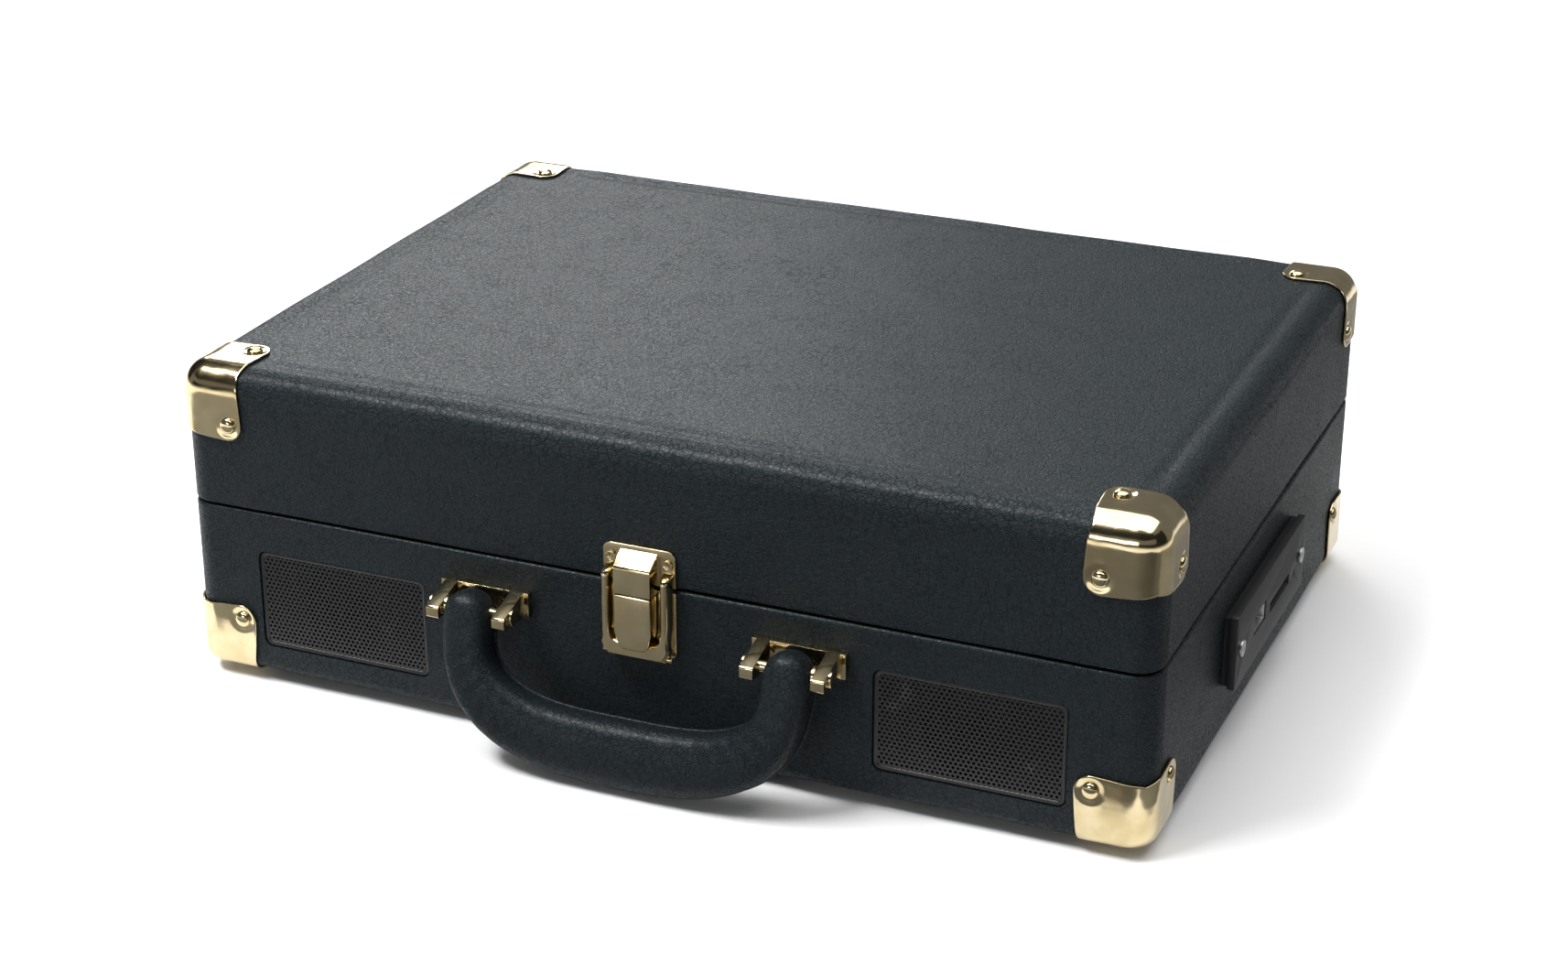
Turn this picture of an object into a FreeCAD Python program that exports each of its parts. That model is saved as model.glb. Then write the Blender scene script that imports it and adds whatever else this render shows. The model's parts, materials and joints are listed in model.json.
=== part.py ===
"""Portable suitcase record player, closed, as a parametric assembly of separate pieces.

Frame: +X to the right of the case, -Y out of its front, +Z up. The origin lies on the table, at the middle of
the footprint that the case, its handle and its rear sockets cover. Lengths are in millimetres.
"""
import FreeCAD, Part
import math
import os
import re

import Sketcher

Vector = FreeCAD.Vector
Rotation = FreeCAD.Rotation
DOC = FreeCAD.newDocument("suitcase_record_player")

# ---------------------------------------------------------------- driving dimensions

SIZES = {
    # case
    "case_width": 350, "case_depth": 257, "case_shift": 9.3,
    "foot_height": 4, "foot_radius": 8, "foot_taper": 1, "foot_inset": 34,
    "base_height": 61.6, "lid_height": 50, "seam_gap": 0.9,
    "rim_level": "=foot_height + base_height",
    "edge_radius": 9, "base_edge_radius": 5,
    "cover_wall": 1, "rim_wall": 0.9, "board_wall": 6, "floor_wall": 4,
    "lid_top_wall": 5, "lining_wall": 1,
    # corner protectors and their rivets
    "corner_size": 25, "corner_sheet": 0.9, "corner_past": 4, "corner_deep": 8,
    "corner_gap": 0.15, "corner_lobe": 6,
    "rivet_inset": 19.5, "rivet_head": 2.8, "rivet_rise": 1.5, "rivet_shank": 1.2, "rivet_length": 5,
    # fasteners and fits
    "drill_clearance": 0.05, "pin_clearance": 0.05, "part_clearance": 0.3,
    "small_screw_head": 1.95, "small_screw_rise": 0.7, "small_screw_shank": 1, "small_screw_length": 7,
    "dark_screw_head": 2.9, "dark_screw_rise": 0.9, "dark_screw_shank": 1.3, "dark_screw_length": 9,
    "cross_width": 0.6, "cross_depth": 0.45, "cross_share": 0.62, "past": 1,
    # rear hinges
    "hinge_offset": 112, "hinge_length": 42, "hinge_leaf": 1.2, "hinge_leaf_height": 15,
    "hinge_barrel": 3, "hinge_pin": 1.5, "hinge_knuckle": 16, "hinge_stand_off": 0.2, "hinge_screw_offset": 13,
    # latch
    "latch_half_width": 13, "latch_plate_wall": 1.2, "latch_plate_low": "=rim_level - 24.6",
    "strike_rise": 13.5,
    "strike_gap": 0.4, "latch_gap": 0.3, "tab_gap": 0.7, "sunk": 0.2, "slot_round": 1.6,
    "cheek_toe": 1.6, "cheek_front": 0.4, "cheek_back": 0.6, "cheek_rear": 1.7,
    "cheek_rise": 4, "cheek_drop": 1.5,
    "claw_shoulder": 3, "claw_round": 2.5, "claw_back": 2.4,
    "latch_corner": 3, "strike_screw_offset": 10.2, "strike_screw_height": "=rim_level + 9.4",
    "tab_half_width": 6.6, "tab_reach": 7.4, "tab_low": "=rim_level - 0.8",
    "tab_high": "=rim_level + 8.8", "tab_slope_top": "=rim_level + 12.9",
    "tab_corner": 1.6, "claw_gap": 0.5, "claw_low": "=rim_level - 17.6", "claw_root": "=rim_level - 20.6",
    "claw_foot_half_width": 4.9,
    "lever_half_width": 12.5, "lever_low": "=rim_level - 24.8", "lever_high": "=rim_level + 6.4",
    "lever_sheet": 1.4, "lever_reach": 6.4,
    "lever_slot_half_width": 8.8, "lever_slot_low": "=rim_level - 18", "lever_back": 1.6, "lever_corner": 2.6,
    "latch_pivot_height": "=rim_level - 23.6", "latch_pivot_reach": 3.4, "latch_pin_radius": 0.9,
    "latch_ear_inner": 8.6, "latch_ear_outer": 10.6, "latch_ear_radius": 1.4,
    # handle and its brackets
    "handle_offset": 57, "bracket_half_width": 16.3,
    "bracket_low": "=rim_level - 18.8", "bracket_high": "=rim_level - 9.8",
    "bracket_wall": 2.7, "bracket_reach": 17, "bracket_tip_low": "=rim_level - 17.6",
    "bracket_tip_high": "=rim_level - 13.4",
    "bracket_arm_inner": 10, "bracket_arm_outer": 14.6, "bracket_screw_offset": 5.5,
    "handle_pivot_reach": 11, "handle_pivot_height": "=rim_level - 14.8",
    "handle_pin_radius": 2, "handle_pin_head": 3,
    "handle_pin_head_height": 1, "handle_collar": 3.4,
    "handle_tilt": 13, "handle_top": 7, "handle_leg_outer": 65.3, "handle_leg_inner": 49.4,
    "handle_shoulder": 61.5, "handle_shoulder_drop": 45.5, "handle_drop": 51.7, "grip_half_length": 45.5,
    "grip_inner_drop": 27.8, "handle_half_thickness": 7, "handle_round": 6.3,
    "handle_outer_round": 34, "handle_inner_round": 8, "handle_belly_round": 120,
    # loudspeakers
    "speaker_offset": "=case_width / 2 - 60.5", "speaker_height": "=foot_height + 29.05",
    "grille_width": 65.5, "grille_height": 36.3,
    "grille_corner": 3, "grille_depth": 3.2, "grille_sunk": 0.5, "grille_wall": 1, "grille_rim": 1.2,
    "grille_clearance": 0.2, "driver_radius": 22, "driver_mouth": 17, "driver_flange": 2,
    "driver_basket": 12, "driver_magnet": 13, "driver_magnet_depth": 7, "driver_cone": 1,
    # card and socket panel on the right side
    "panel_low_y": -48, "panel_high_y": 44, "panel_low": "=foot_height + 20",
    "panel_high": "=foot_height + 47.5",
    "panel_plate": 2.6, "panel_seat": 2.2, "panel_seat_inset": 1.2, "panel_corner": 1.5,
    "panel_window_inset": 6, "panel_window_rise": 4, "panel_screw_front": -42, "panel_screw_rear": 38,
    "panel_screw_height": "=foot_height + 34",
    "usb_middle": -17, "usb_width": 14.4, "usb_low": "=foot_height + 30.4", "usb_high": "=foot_height + 37.2",
    "usb_sheet": 0.5,
    "usb_depth": 15, "usb_tongue": 1.8, "card_middle": 9.75, "card_width": 26,
    "card_low": "=foot_height + 29.4",
    "card_high": "=foot_height + 33.2", "card_depth": 22, "card_sheet": 0.6,
    "light_middle": 29, "light_height": "=foot_height + 30.6", "light_radius": 1.2,
    # amplifier board
    "board_left": "=case_width / 2 - 79", "board_right": "=case_width / 2 - 15", "board_front": -45,
    "board_back": 42, "board_high": "=foot_height + 29.1",
    "board_sheet": 1.6, "pillar_radius": 3, "pillar_inset": 5,
    # rear sockets
    "socket_middle": 40, "socket_plate_width": 62, "socket_plate_height": 24,
    "socket_plate_low": "=foot_height + 16",
    "socket_plate_wall": 1.5, "socket_plate_corner": 2, "socket_window_inset": 5,
    "socket_spacing": 15, "socket_radius": 4.15, "socket_length": 8,
    "socket_bore": 1.7, "socket_bore_depth": 7, "inlet_offset": 20, "inlet_radius": 5, "inlet_length": 3,
    "inlet_bore": 2.9, "inlet_pin": 1,
    # deck and posts
    "deck_drop": 5.6, "deck_wall": 3, "deck_clearance": 0.4, "post_side": 12,
    # platter and drive
    "platter_x": -42, "platter_y": 8, "platter_radius": 97, "platter_gap": 2, "platter_height": 8,
    "platter_sheet": 3, "skirt_wall": 3, "drive_ring": "=platter_radius - 36.5",
    "drive_ring_wall": 2.5, "hub_radius": 10,
    "mat_radius": "=platter_radius - 2", "mat_wall": 2, "spindle_radius": 3.58, "spindle_rise": 10, "spindle_drop": 22,
    "spindle_tip": 2, "bearing_wall": 3, "bearing_length": 22, "bearing_flange": 12,
    "pulley_distance": "=platter_radius - 17", "pulley_angle": -40, "pulley_radius": 6, "pulley_height": 6,
    "belt_wall": 0.8, "belt_height": 4, "belt_gap": 0.1, "motor_radius": 14, "motor_height": 24,
    "motor_shaft": 1,
    # tonearm
    "arm_x": 128, "arm_y": 90, "arm_length": 200, "arm_axis_height": 22, "arm_base_radius": 19,
    "arm_base_height": 6, "arm_post_radius": 10, "arm_post_height": 14, "yoke_half_width": 9,
    "yoke_cheek": 3, "yoke_floor": 2, "yoke_half_depth": 7, "yoke_rise": 6, "arm_block_half_width": 5.6,
    "arm_block_half_depth": 6, "arm_block_half_height": 4.5, "trunnion_radius": 1.5,
    "arm_tube_radius": 3, "arm_rear": 26, "weight_radius": 7.5, "weight_length": 14,
    "head_half_width": 8, "head_length": 30, "head_half_height": 2.5,
    "cartridge_half_width": 6, "cartridge_length": 16, "cartridge_height": 4, "stylus_length": 1.4,
    "stylus_radius": 0.8, "rest_distance": 150, "rest_half_depth": 4, "rest_left": 5, "rest_right": 6,
    "rest_lip": 2.2, "rest_lip_rise": 3.5,
    "cue_offset": 19, "cue_wall": 3, "cue_hub": 4, "cue_length": 20, "cue_height": 8, "cue_pin": 1.5,
    "cue_bar": 3,
    # controls on the deck
    "control_x": "=case_width / 2 - 23", "volume_y": -70, "source_y": -40, "speed_y": -8, "stop_y": 18,
    "knob_radius": 8, "knob_height": 12, "knob_shaft": 3, "knob_round": 1.2, "pointer_width": 1.2,
    "pointer_depth": 0.6, "speed_radius": 7, "speed_height": 3, "speed_bar": 14, "speed_bar_width": 4,
    "speed_bar_height": 6, "stop_length": 6, "stop_width": 4, "stop_rise": 4, "stop_travel": 4,
    "adapter_x": "=30 - case_width / 2", "adapter_y": -96, "adapter_radius": 19, "adapter_height": 5,
    "adapter_bore": 3.65,
    "adapter_recess": 1.5, "adapter_dish": 1.5, "adapter_rim": 3,
}

SHEET = DOC.addObject("Spreadsheet::Sheet", "dims")
for row, (alias, value) in enumerate(SIZES.items(), start=1):
    SHEET.set(f"A{row}", alias)
    SHEET.set(f"B{row}", str(value))
    SHEET.setAlias(f"B{row}", alias)
DOC.recompute()


def size(alias):
    """The sheet's value for one named size."""
    return float(SHEET.get(alias))


def bound(text):
    """An expression in named sizes, written for the document's own expression engine."""
    return re.sub(r"[a-z][a-z_]+", lambda word: f"dims.{word.group()}" if word.group() in SIZES else word.group(),
                  str(text))


# Planes and levels that many pieces share, as expressions in the named sizes.
HALF_X = "(case_width / 2)"
FRONT = "(case_shift - case_depth / 2)"
REAR = "(case_shift + case_depth / 2)"
RIM = "(foot_height + base_height)"
LID_LOW = "(foot_height + base_height + seam_gap)"
LID_TOP = "(foot_height + base_height + seam_gap + lid_height)"
HINGE_Z = "(foot_height + base_height + seam_gap / 2)"
LEAF_LOW = "(foot_height + base_height + seam_gap / 2 - hinge_barrel - part_clearance)"
LEAF_HIGH = "(foot_height + base_height + seam_gap / 2 + hinge_barrel + part_clearance)"
HINGE_Y = "(case_shift + case_depth / 2 + hinge_stand_off + hinge_barrel)"
INNER_X = "(case_width / 2 - cover_wall - board_wall)"
INNER_FRONT = "(case_shift - case_depth / 2 + cover_wall + board_wall)"
INNER_REAR = "(case_shift + case_depth / 2 - cover_wall - board_wall)"
FLOOR_TOP = "(foot_height + cover_wall + floor_wall)"
DECK_TOP = "(foot_height + base_height - deck_drop)"
DECK_LOW = "(foot_height + base_height - deck_drop - deck_wall)"
LID_CEILING = f"({LID_TOP} - cover_wall - lid_top_wall)"

TURNS = {
    "+Z": Rotation(),
    "-Z": Rotation(Vector(1, 0, 0), 180),
    "+X": Rotation(Vector(0, 1, 0), 90),
    "-X": Rotation(Vector(0, 1, 0), -90),
    "+Y": Rotation(Vector(1, 0, 0), -90),
    "-Y": Rotation(Vector(1, 0, 0), 90),
}


# ---------------------------------------------------------------- building blocks

def place(piece, where, turn="+Z"):
    """Turn a piece's own +Z to one of the six directions and bind its place to the sheet."""
    piece.Placement = FreeCAD.Placement(Vector(), TURNS[turn])
    for letter, text in zip("xyz", where):
        piece.setExpression(f"Placement.Base.{letter}", bound(text))
    return piece


def box(name, spans):
    """A block between two expressions on each of X, Y and Z."""
    block = DOC.addObject("Part::Box", name)
    for side, (low, high) in zip(("Length", "Width", "Height"), spans):
        block.setExpression(side, bound(f"({high}) - ({low})"))
    return place(block, [low for low, high in spans])


def rod(name, radius, length, where, turn="+Z"):
    """A cylinder that starts at a point and runs the given way."""
    cylinder = DOC.addObject("Part::Cylinder", name)
    cylinder.setExpression("Radius", bound(radius))
    cylinder.setExpression("Height", bound(length))
    return place(cylinder, where, turn)


def fuse(name, *pieces):
    """Several overlapping shapes as one."""
    joined = DOC.addObject("Part::MultiFuse", name)
    joined.Shapes = list(pieces)
    joined.Refine = True
    return joined


def group(name, *pieces):
    """Separate solids that share one node."""
    together = DOC.addObject("Part::Compound", name)
    together.Links = list(pieces)
    return together


def cut(name, base, *tools):
    """A shape with others taken out of it."""
    for number, tool in enumerate(tools, start=1):
        less = DOC.addObject("Part::Cut", name if number == len(tools) else f"{name}_cut_{number}")
        less.Base = base
        less.Tool = tool
        base = less
    return base


def common(name, first, second):
    """What two shapes share."""
    shared = DOC.addObject("Part::Common", name)
    shared.Base = first
    shared.Tool = second
    return shared


def mirrored(name, piece, across):
    """A piece reflected in the case's middle plane across X or across Y."""
    copy = DOC.addObject("Part::Mirroring", name)
    copy.Source = piece
    copy.Normal = Vector(1, 0, 0) if across == "X" else Vector(0, 1, 0)
    copy.setExpression("Base.y", bound("case_shift"))
    return copy


def origin_plane(body, role):
    """One of a body's own origin planes."""
    return next(plane for plane in body.Origin.OriginFeatures if plane.Role == role)


def outline_sketch(body, name, role, outline, offset="0"):
    """A closed outline on an origin plane, each corner held by two bound distances."""
    sketch = body.newObject("Sketcher::SketchObject", name)
    sketch.AttachmentSupport = [(origin_plane(body, role), "")]
    sketch.MapMode = "FlatFace"
    sketch.setExpression("AttachmentOffset.Base.z", bound(offset))
    start = [Vector(*(value_of(text) for text in corner), 0) for corner in outline]
    count = len(start)
    for index in range(count):
        sketch.addGeometry(Part.LineSegment(start[index], start[(index + 1) % count]), False)
    for index in range(count):
        sketch.addConstraint(Sketcher.Constraint("Coincident", index, 2, (index + 1) % count, 1))
    for index, corner in enumerate(outline):
        for kind, text, value in zip(("DistanceX", "DistanceY"), corner, start[index]):
            held = sketch.addConstraint(Sketcher.Constraint(kind, -1, 1, index, 1, value))
            sketch.setExpression(f"Constraints[{held}]", bound(text))
    return sketch


def value_of(text):
    """The value that an expression has now, for a sketch's first drawing."""
    probe = DOC.getObject("probe") or DOC.addObject("App::FeaturePython", "probe")
    if "value" not in probe.PropertiesList:
        probe.addProperty("App::PropertyFloat", "value")
    return float(probe.evalExpression(bound(text)))


def slab(name, role, outline, low, high, rounds=()):
    """An outline on a plane, made solid between two levels, with some of its corners rounded.

    rounds pairs a radius with the numbers of the corners that take it.
    """
    body = DOC.addObject("PartDesign::Body", name)
    inward = role == "XZ_Plane"
    sketch = outline_sketch(body, f"{name}_outline", role, outline, f"-({high})" if inward else low)
    pad = body.newObject("PartDesign::Pad", f"{name}_pad")
    pad.Profile = sketch
    pad.setExpression("Length", bound(f"({high}) - ({low})"))
    DOC.recompute()
    for number, (radius, corners) in enumerate(rounds, start=1):
        points = [sketch.Placement.multVec(sketch.Geometry[index].StartPoint) for index in corners]
        across = sketch.Placement.Rotation.multVec(Vector(0, 0, 1))

        def is_corner(edge):
            start, end = edge.Vertexes[0].Point, edge.Vertexes[-1].Point
            along = end - start
            if along.Length < 1e-6 or along.cross(across).Length > 1e-6 * along.Length:
                return False
            return any((start - point).cross(across).Length < 1e-5 for point in points)

        soften(body, f"{name}_round_{number}", radius, is_corner)
    return body


def soften(body, name, radius, chosen):
    """Round the edges of a body that a test picks out."""
    DOC.recompute()
    base = body.Tip
    edges = [f"Edge{number}" for number, edge in enumerate(base.Shape.Edges, start=1) if chosen(edge)]
    fillet = body.newObject("PartDesign::Fillet", name)
    fillet.Base = (base, edges)
    fillet.setExpression("Radius", bound(radius))
    DOC.recompute()
    return fillet


def rectangle(low_x, high_x, low_y, high_y):
    """The four corners of a rectangle."""
    return [(low_x, low_y), (high_x, low_y), (high_x, high_y), (low_x, high_y)]


def turned(name, profile, where, turn="+Z", rounds=()):
    """A solid of revolution about its own Z, from an outline of radius and height."""
    body = DOC.addObject("PartDesign::Body", name)
    sketch = outline_sketch(body, f"{name}_outline", "XZ_Plane", profile)
    spin = body.newObject("PartDesign::Revolution", f"{name}_spin")
    spin.Profile = sketch
    spin.ReferenceAxis = (sketch, ["V_Axis"])
    spin.Angle = 360
    DOC.recompute()
    for number, (radius, ring_radius, ring_height) in enumerate(rounds, start=1):
        ring = (value_of(ring_radius), value_of(ring_height))

        def is_ring(edge):
            if not isinstance(edge.Curve, Part.Circle):
                return False
            return abs(edge.Curve.Radius - ring[0]) < 1e-5 and abs(edge.Curve.Center.z - ring[1]) < 1e-5

        soften(body, f"{name}_round_{number}", radius, is_ring)
    return place(body, where, turn)


def upright(edge):
    """Whether an edge runs along Z."""
    along = edge.Vertexes[-1].Point - edge.Vertexes[0].Point
    return abs(along.z) > 1e-6 and math.hypot(along.x, along.y) < 1e-6


def at_level(level):
    """A test for edges that lie at one height."""
    return lambda edge: all(abs(vertex.Point.z - level) < 1e-6 for vertex in edge.Vertexes)


def screw(name, kind, where, turn, sunk="0"):
    """A cross-head screw whose head rests on a seat and whose shank runs in from there."""
    head = rod(f"{name}_head", f"{kind}_screw_head", f"{kind}_screw_rise", ("0", "0", f"-({sunk})"))
    shank = rod(f"{name}_shank", f"{kind}_screw_shank", f"{kind}_screw_length",
                ("0", "0", f"-({sunk}) - {kind}_screw_length"))
    half_bar = f"{kind}_screw_head * cross_share"
    level = (f"{kind}_screw_rise - ({sunk}) - cross_depth", f"{kind}_screw_rise - ({sunk}) + 1")
    bar_x = box(f"{name}_cross_x", [(f"-{half_bar}", half_bar), ("-cross_width / 2", "cross_width / 2"), level])
    bar_y = box(f"{name}_cross_y", [("-cross_width / 2", "cross_width / 2"), (f"-{half_bar}", half_bar), level])
    whole = fuse(f"{name}_blank", head, shank)
    return place(cut(name, whole, fuse(f"{name}_cross", bar_x, bar_y)), where, turn)


def drilling(name, radius, length, where, turn):
    """A hole's tool: it starts outside the seat and runs in, against the way that the fastener points."""
    tool = rod(f"{name}_bit", radius, f"({length}) + 2", ("0", "0", f"-({length})"))
    return place(group(name, tool), where, turn)


def screw_hole(name, kind, where, turn, deeper="0"):
    """The hole that one screw's shank needs."""
    return drilling(name, f"{kind}_screw_shank + drill_clearance", f"{kind}_screw_length + 0.2 + ({deeper})",
                    where, turn)


PARTS = []


def keep(piece):
    """Mark a finished piece as a sub-part: its label names its file."""
    piece.Label = piece.Name
    PARTS.append(piece)
    return piece


# ---------------------------------------------------------------- case shells

def base_block(name, outset, high):
    """The base's outer form, grown by outset, up to a level."""
    block = slab(name, "XY_Plane", rectangle(f"-{HALF_X} - ({outset})", f"{HALF_X} + ({outset})",
                                             f"{FRONT} - ({outset})", f"{REAR} + ({outset})"),
                 f"foot_height - ({outset})", high)
    soften(block, f"{name}_uprights", f"edge_radius + ({outset})", upright)
    soften(block, f"{name}_bottom", f"base_edge_radius + ({outset})",
           at_level(value_of(f"foot_height - ({outset})")))
    return block


def lid_block(name, outset, low):
    """The lid's outer form, grown by outset, down to a level."""
    block = slab(name, "XY_Plane", rectangle(f"-{HALF_X} - ({outset})", f"{HALF_X} + ({outset})",
                                             f"{FRONT} - ({outset})", f"{REAR} + ({outset})"),
                 low, f"{LID_TOP} + ({outset})")
    top = at_level(value_of(f"{LID_TOP} + ({outset})"))
    soften(block, f"{name}_rounds", f"edge_radius + ({outset})", lambda edge: upright(edge) or top(edge))
    return block


def inner_box(name, low, high, inset="0"):
    """The space inside the board walls, between two levels."""
    return box(name, [(f"-{INNER_X} + ({inset})", f"{INNER_X} - ({inset})"),
                      (f"{INNER_FRONT} + ({inset})", f"{INNER_REAR} - ({inset})"), (low, high)])


def speaker_windows():
    """For each side, the recess that a grille sits in and the round hole behind it."""
    tools = []
    for side, sign in (("left", "-"), ("right", "")):
        middle = f"{sign}speaker_offset"
        grow = "grille_clearance"
        tools.append(slab(f"window_{side}", "XZ_Plane",
                          rectangle(f"{middle} - grille_width / 2 - {grow}", f"{middle} + grille_width / 2 + {grow}",
                                    f"speaker_height - grille_height / 2 - {grow}",
                                    f"speaker_height + grille_height / 2 + {grow}"),
                          f"{FRONT} - 2", f"{FRONT} + grille_depth",
                          [("grille_corner + grille_clearance", (0, 1, 2, 3))]))
        tools.append(rod(f"speaker_hole_{side}", "driver_mouth", "board_wall + cover_wall + 2",
                         (middle, f"{FRONT} - past", "speaker_height"), "+Y"))
    return tools


def panel_window():
    """The opening in the right wall behind the socket panel."""
    return box("panel_window", [(f"{INNER_X} - past", f"{HALF_X} + past"),
                                ("panel_low_y + case_shift + panel_window_inset",
                                 "panel_high_y + case_shift - panel_window_inset"),
                                ("panel_low + panel_window_rise", "panel_high - panel_window_rise")])


def socket_window():
    """The opening in the rear wall behind the socket plate."""
    inset = "socket_window_inset"
    return box("socket_window", [(f"socket_middle - socket_plate_width / 2 + {inset}",
                                  f"socket_middle + socket_plate_width / 2 - {inset}"),
                                 (f"{INNER_REAR} - past", f"{REAR} + past"),
                                 (f"socket_plate_low + {inset}",
                                  f"socket_plate_low + socket_plate_height - {inset}")])


def seats():
    """Where each fastener's head sits and which way it points, for the base and for the lid."""
    base, lid = [], []
    for sign in ("-", ""):
        for across in ("-", ""):
            base.append(("small", (f"{sign}handle_offset {'-' if across else '+'} bracket_screw_offset",
                                   f"{FRONT} - bracket_wall", "handle_pivot_height"), "-Y",
                         "small_screw_rise"))
            base.append(("small", (f"{sign}hinge_offset {'-' if across else '+'} hinge_screw_offset",
                                   f"{REAR} + hinge_leaf", f"{LEAF_LOW} - hinge_leaf_height / 2"),
                         "+Y", "0"))
            lid.append(("small", (f"{sign}hinge_offset {'-' if across else '+'} hinge_screw_offset",
                                  f"{REAR} + hinge_leaf", f"{LEAF_HIGH} + hinge_leaf_height / 2"),
                        "+Y", "0"))
        lid.append(("small", (f"{sign}strike_screw_offset", f"{FRONT} - latch_plate_wall", "strike_screw_height"),
                    "-Y", "0"))
    return base, lid


def dark_seats():
    """The dark screws: two in the socket panel and four through the deck into the posts."""
    places = [((f"{HALF_X} + panel_seat + panel_plate", f"case_shift + {name}", "panel_screw_height"), "+X")
              for name in ("panel_screw_front", "panel_screw_rear")]
    for x_sign, x_back in (("-", "+"), ("", "-")):
        for y_plane, y_step in ((INNER_FRONT, "+"), (INNER_REAR, "-")):
            places.append(((f"{x_sign}{INNER_X} {x_back} post_side / 2", f"{y_plane} {y_step} post_side / 2",
                            DECK_TOP), "+Z"))
    return places


def rivet_seats(level, up):
    """The three rivets of the front right corner, at the lid's top or the base's bottom."""
    grow = "corner_gap + corner_sheet"
    inward = "-" if up == "+Z" else "+"
    outward = "+" if up == "+Z" else "-"
    return [
        ((f"{HALF_X} - rivet_inset", f"{FRONT} - ({grow})", f"{level} {inward} rivet_inset"), "-Y"),
        ((f"{HALF_X} + {grow}", f"{FRONT} + rivet_inset", f"{level} {inward} rivet_inset"), "+X"),
        ((f"{HALF_X} - rivet_inset", f"{FRONT} + rivet_inset", f"{level} {outward} ({grow})"), up),
    ]


def four_ways(name, piece):
    """A front right piece and its three mirror images, in the order the corners are named."""
    left = mirrored(f"{name}_front_left", piece, "X")
    return {"front_right": piece, "front_left": left, "rear_right": mirrored(f"{name}_rear_right", piece, "Y"),
            "rear_left": mirrored(f"{name}_rear_left", left, "Y")}


def rivet(name, where, turn):
    """A domed rivet: its head stands on the seat and its shank runs in."""
    dome = DOC.addObject("Part::Sphere", f"{name}_ball")
    dome.setExpression("Radius", bound("(rivet_head ^ 2 + rivet_rise ^ 2) / (2 * rivet_rise)"))
    place(dome, ("0", "0", "rivet_rise - (rivet_head ^ 2 + rivet_rise ^ 2) / (2 * rivet_rise)"))
    head = common(f"{name}_head", dome, rod(f"{name}_blank", "rivet_head", "rivet_rise + 1", ("0", "0", "0")))
    shank = rod(f"{name}_shank", "rivet_shank", "rivet_length + 0.3", ("0", "0", "-rivet_length"))
    return place(fuse(name, head, shank), where, turn)


def corner_set(half, level, up, shell_block):
    """One half's four corner protectors, their rivets and the tool for the rivets' holes."""
    outer = shell_block(f"{half}_corner_outer", "corner_gap + corner_sheet")
    inner = shell_block(f"{half}_corner_inner", "corner_gap")
    reach = "corner_size + corner_past"
    if up == "+Z":
        span = (f"{level} - corner_size", f"{level} + corner_past")
    else:
        span = (f"{level} - corner_past", f"{level} + corner_size")
    bound_block = slab(f"{half}_corner_bounds", "XY_Plane",
                       rectangle(f"{HALF_X} - corner_size", f"{HALF_X} - corner_size + {reach}",
                                 f"{FRONT} - corner_past", f"{FRONT} + corner_size"), *span)
    x_in, y_in = value_of(f"{HALF_X} - corner_size"), value_of(f"{FRONT} + corner_size")
    z_in = value_of(span[0] if up == "+Z" else span[1])

    def on_two_inner_planes(edge):
        planes = 0
        for axis, inner_place in (("x", x_in), ("y", y_in), ("z", z_in)):
            if all(abs(getattr(vertex.Point, axis) - inner_place) < 1e-6 for vertex in edge.Vertexes):
                planes += 1
        return planes == 2

    soften(bound_block, f"{half}_corner_lobes", "corner_lobe", on_two_inner_planes)
    sheet = common(f"{half}_corner_sheet", cut(f"{half}_corner_shell", outer, inner), bound_block)
    rivets, bits = [], []
    for number, (where, turn) in enumerate(rivet_seats(level, up), start=1):
        rivets.append(rivet(f"{half}_rivet_{number}", where, turn))
        bits.append(drilling(f"{half}_rivet_hole_{number}", "rivet_shank + drill_clearance", "rivet_length + 0.2",
                             where, turn))
    holes = group(f"{half}_corner_holes", *bits)
    pierced = cut(f"{half}_corner_front_right", sheet, holes)
    for where, corner in four_ways(f"{half}_corner", pierced).items():
        corner.Label = f"{half}_corner_{where}"
        PARTS.append(corner)
    rivet_group = four_ways(f"{half}_rivets", group(f"{half}_rivets_front_right", *rivets))
    keep(group(f"{half}_corner_rivets", *rivet_group.values()))
    return group(f"{half}_rivet_tools", *four_ways(f"{half}_holes", holes).values())


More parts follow.
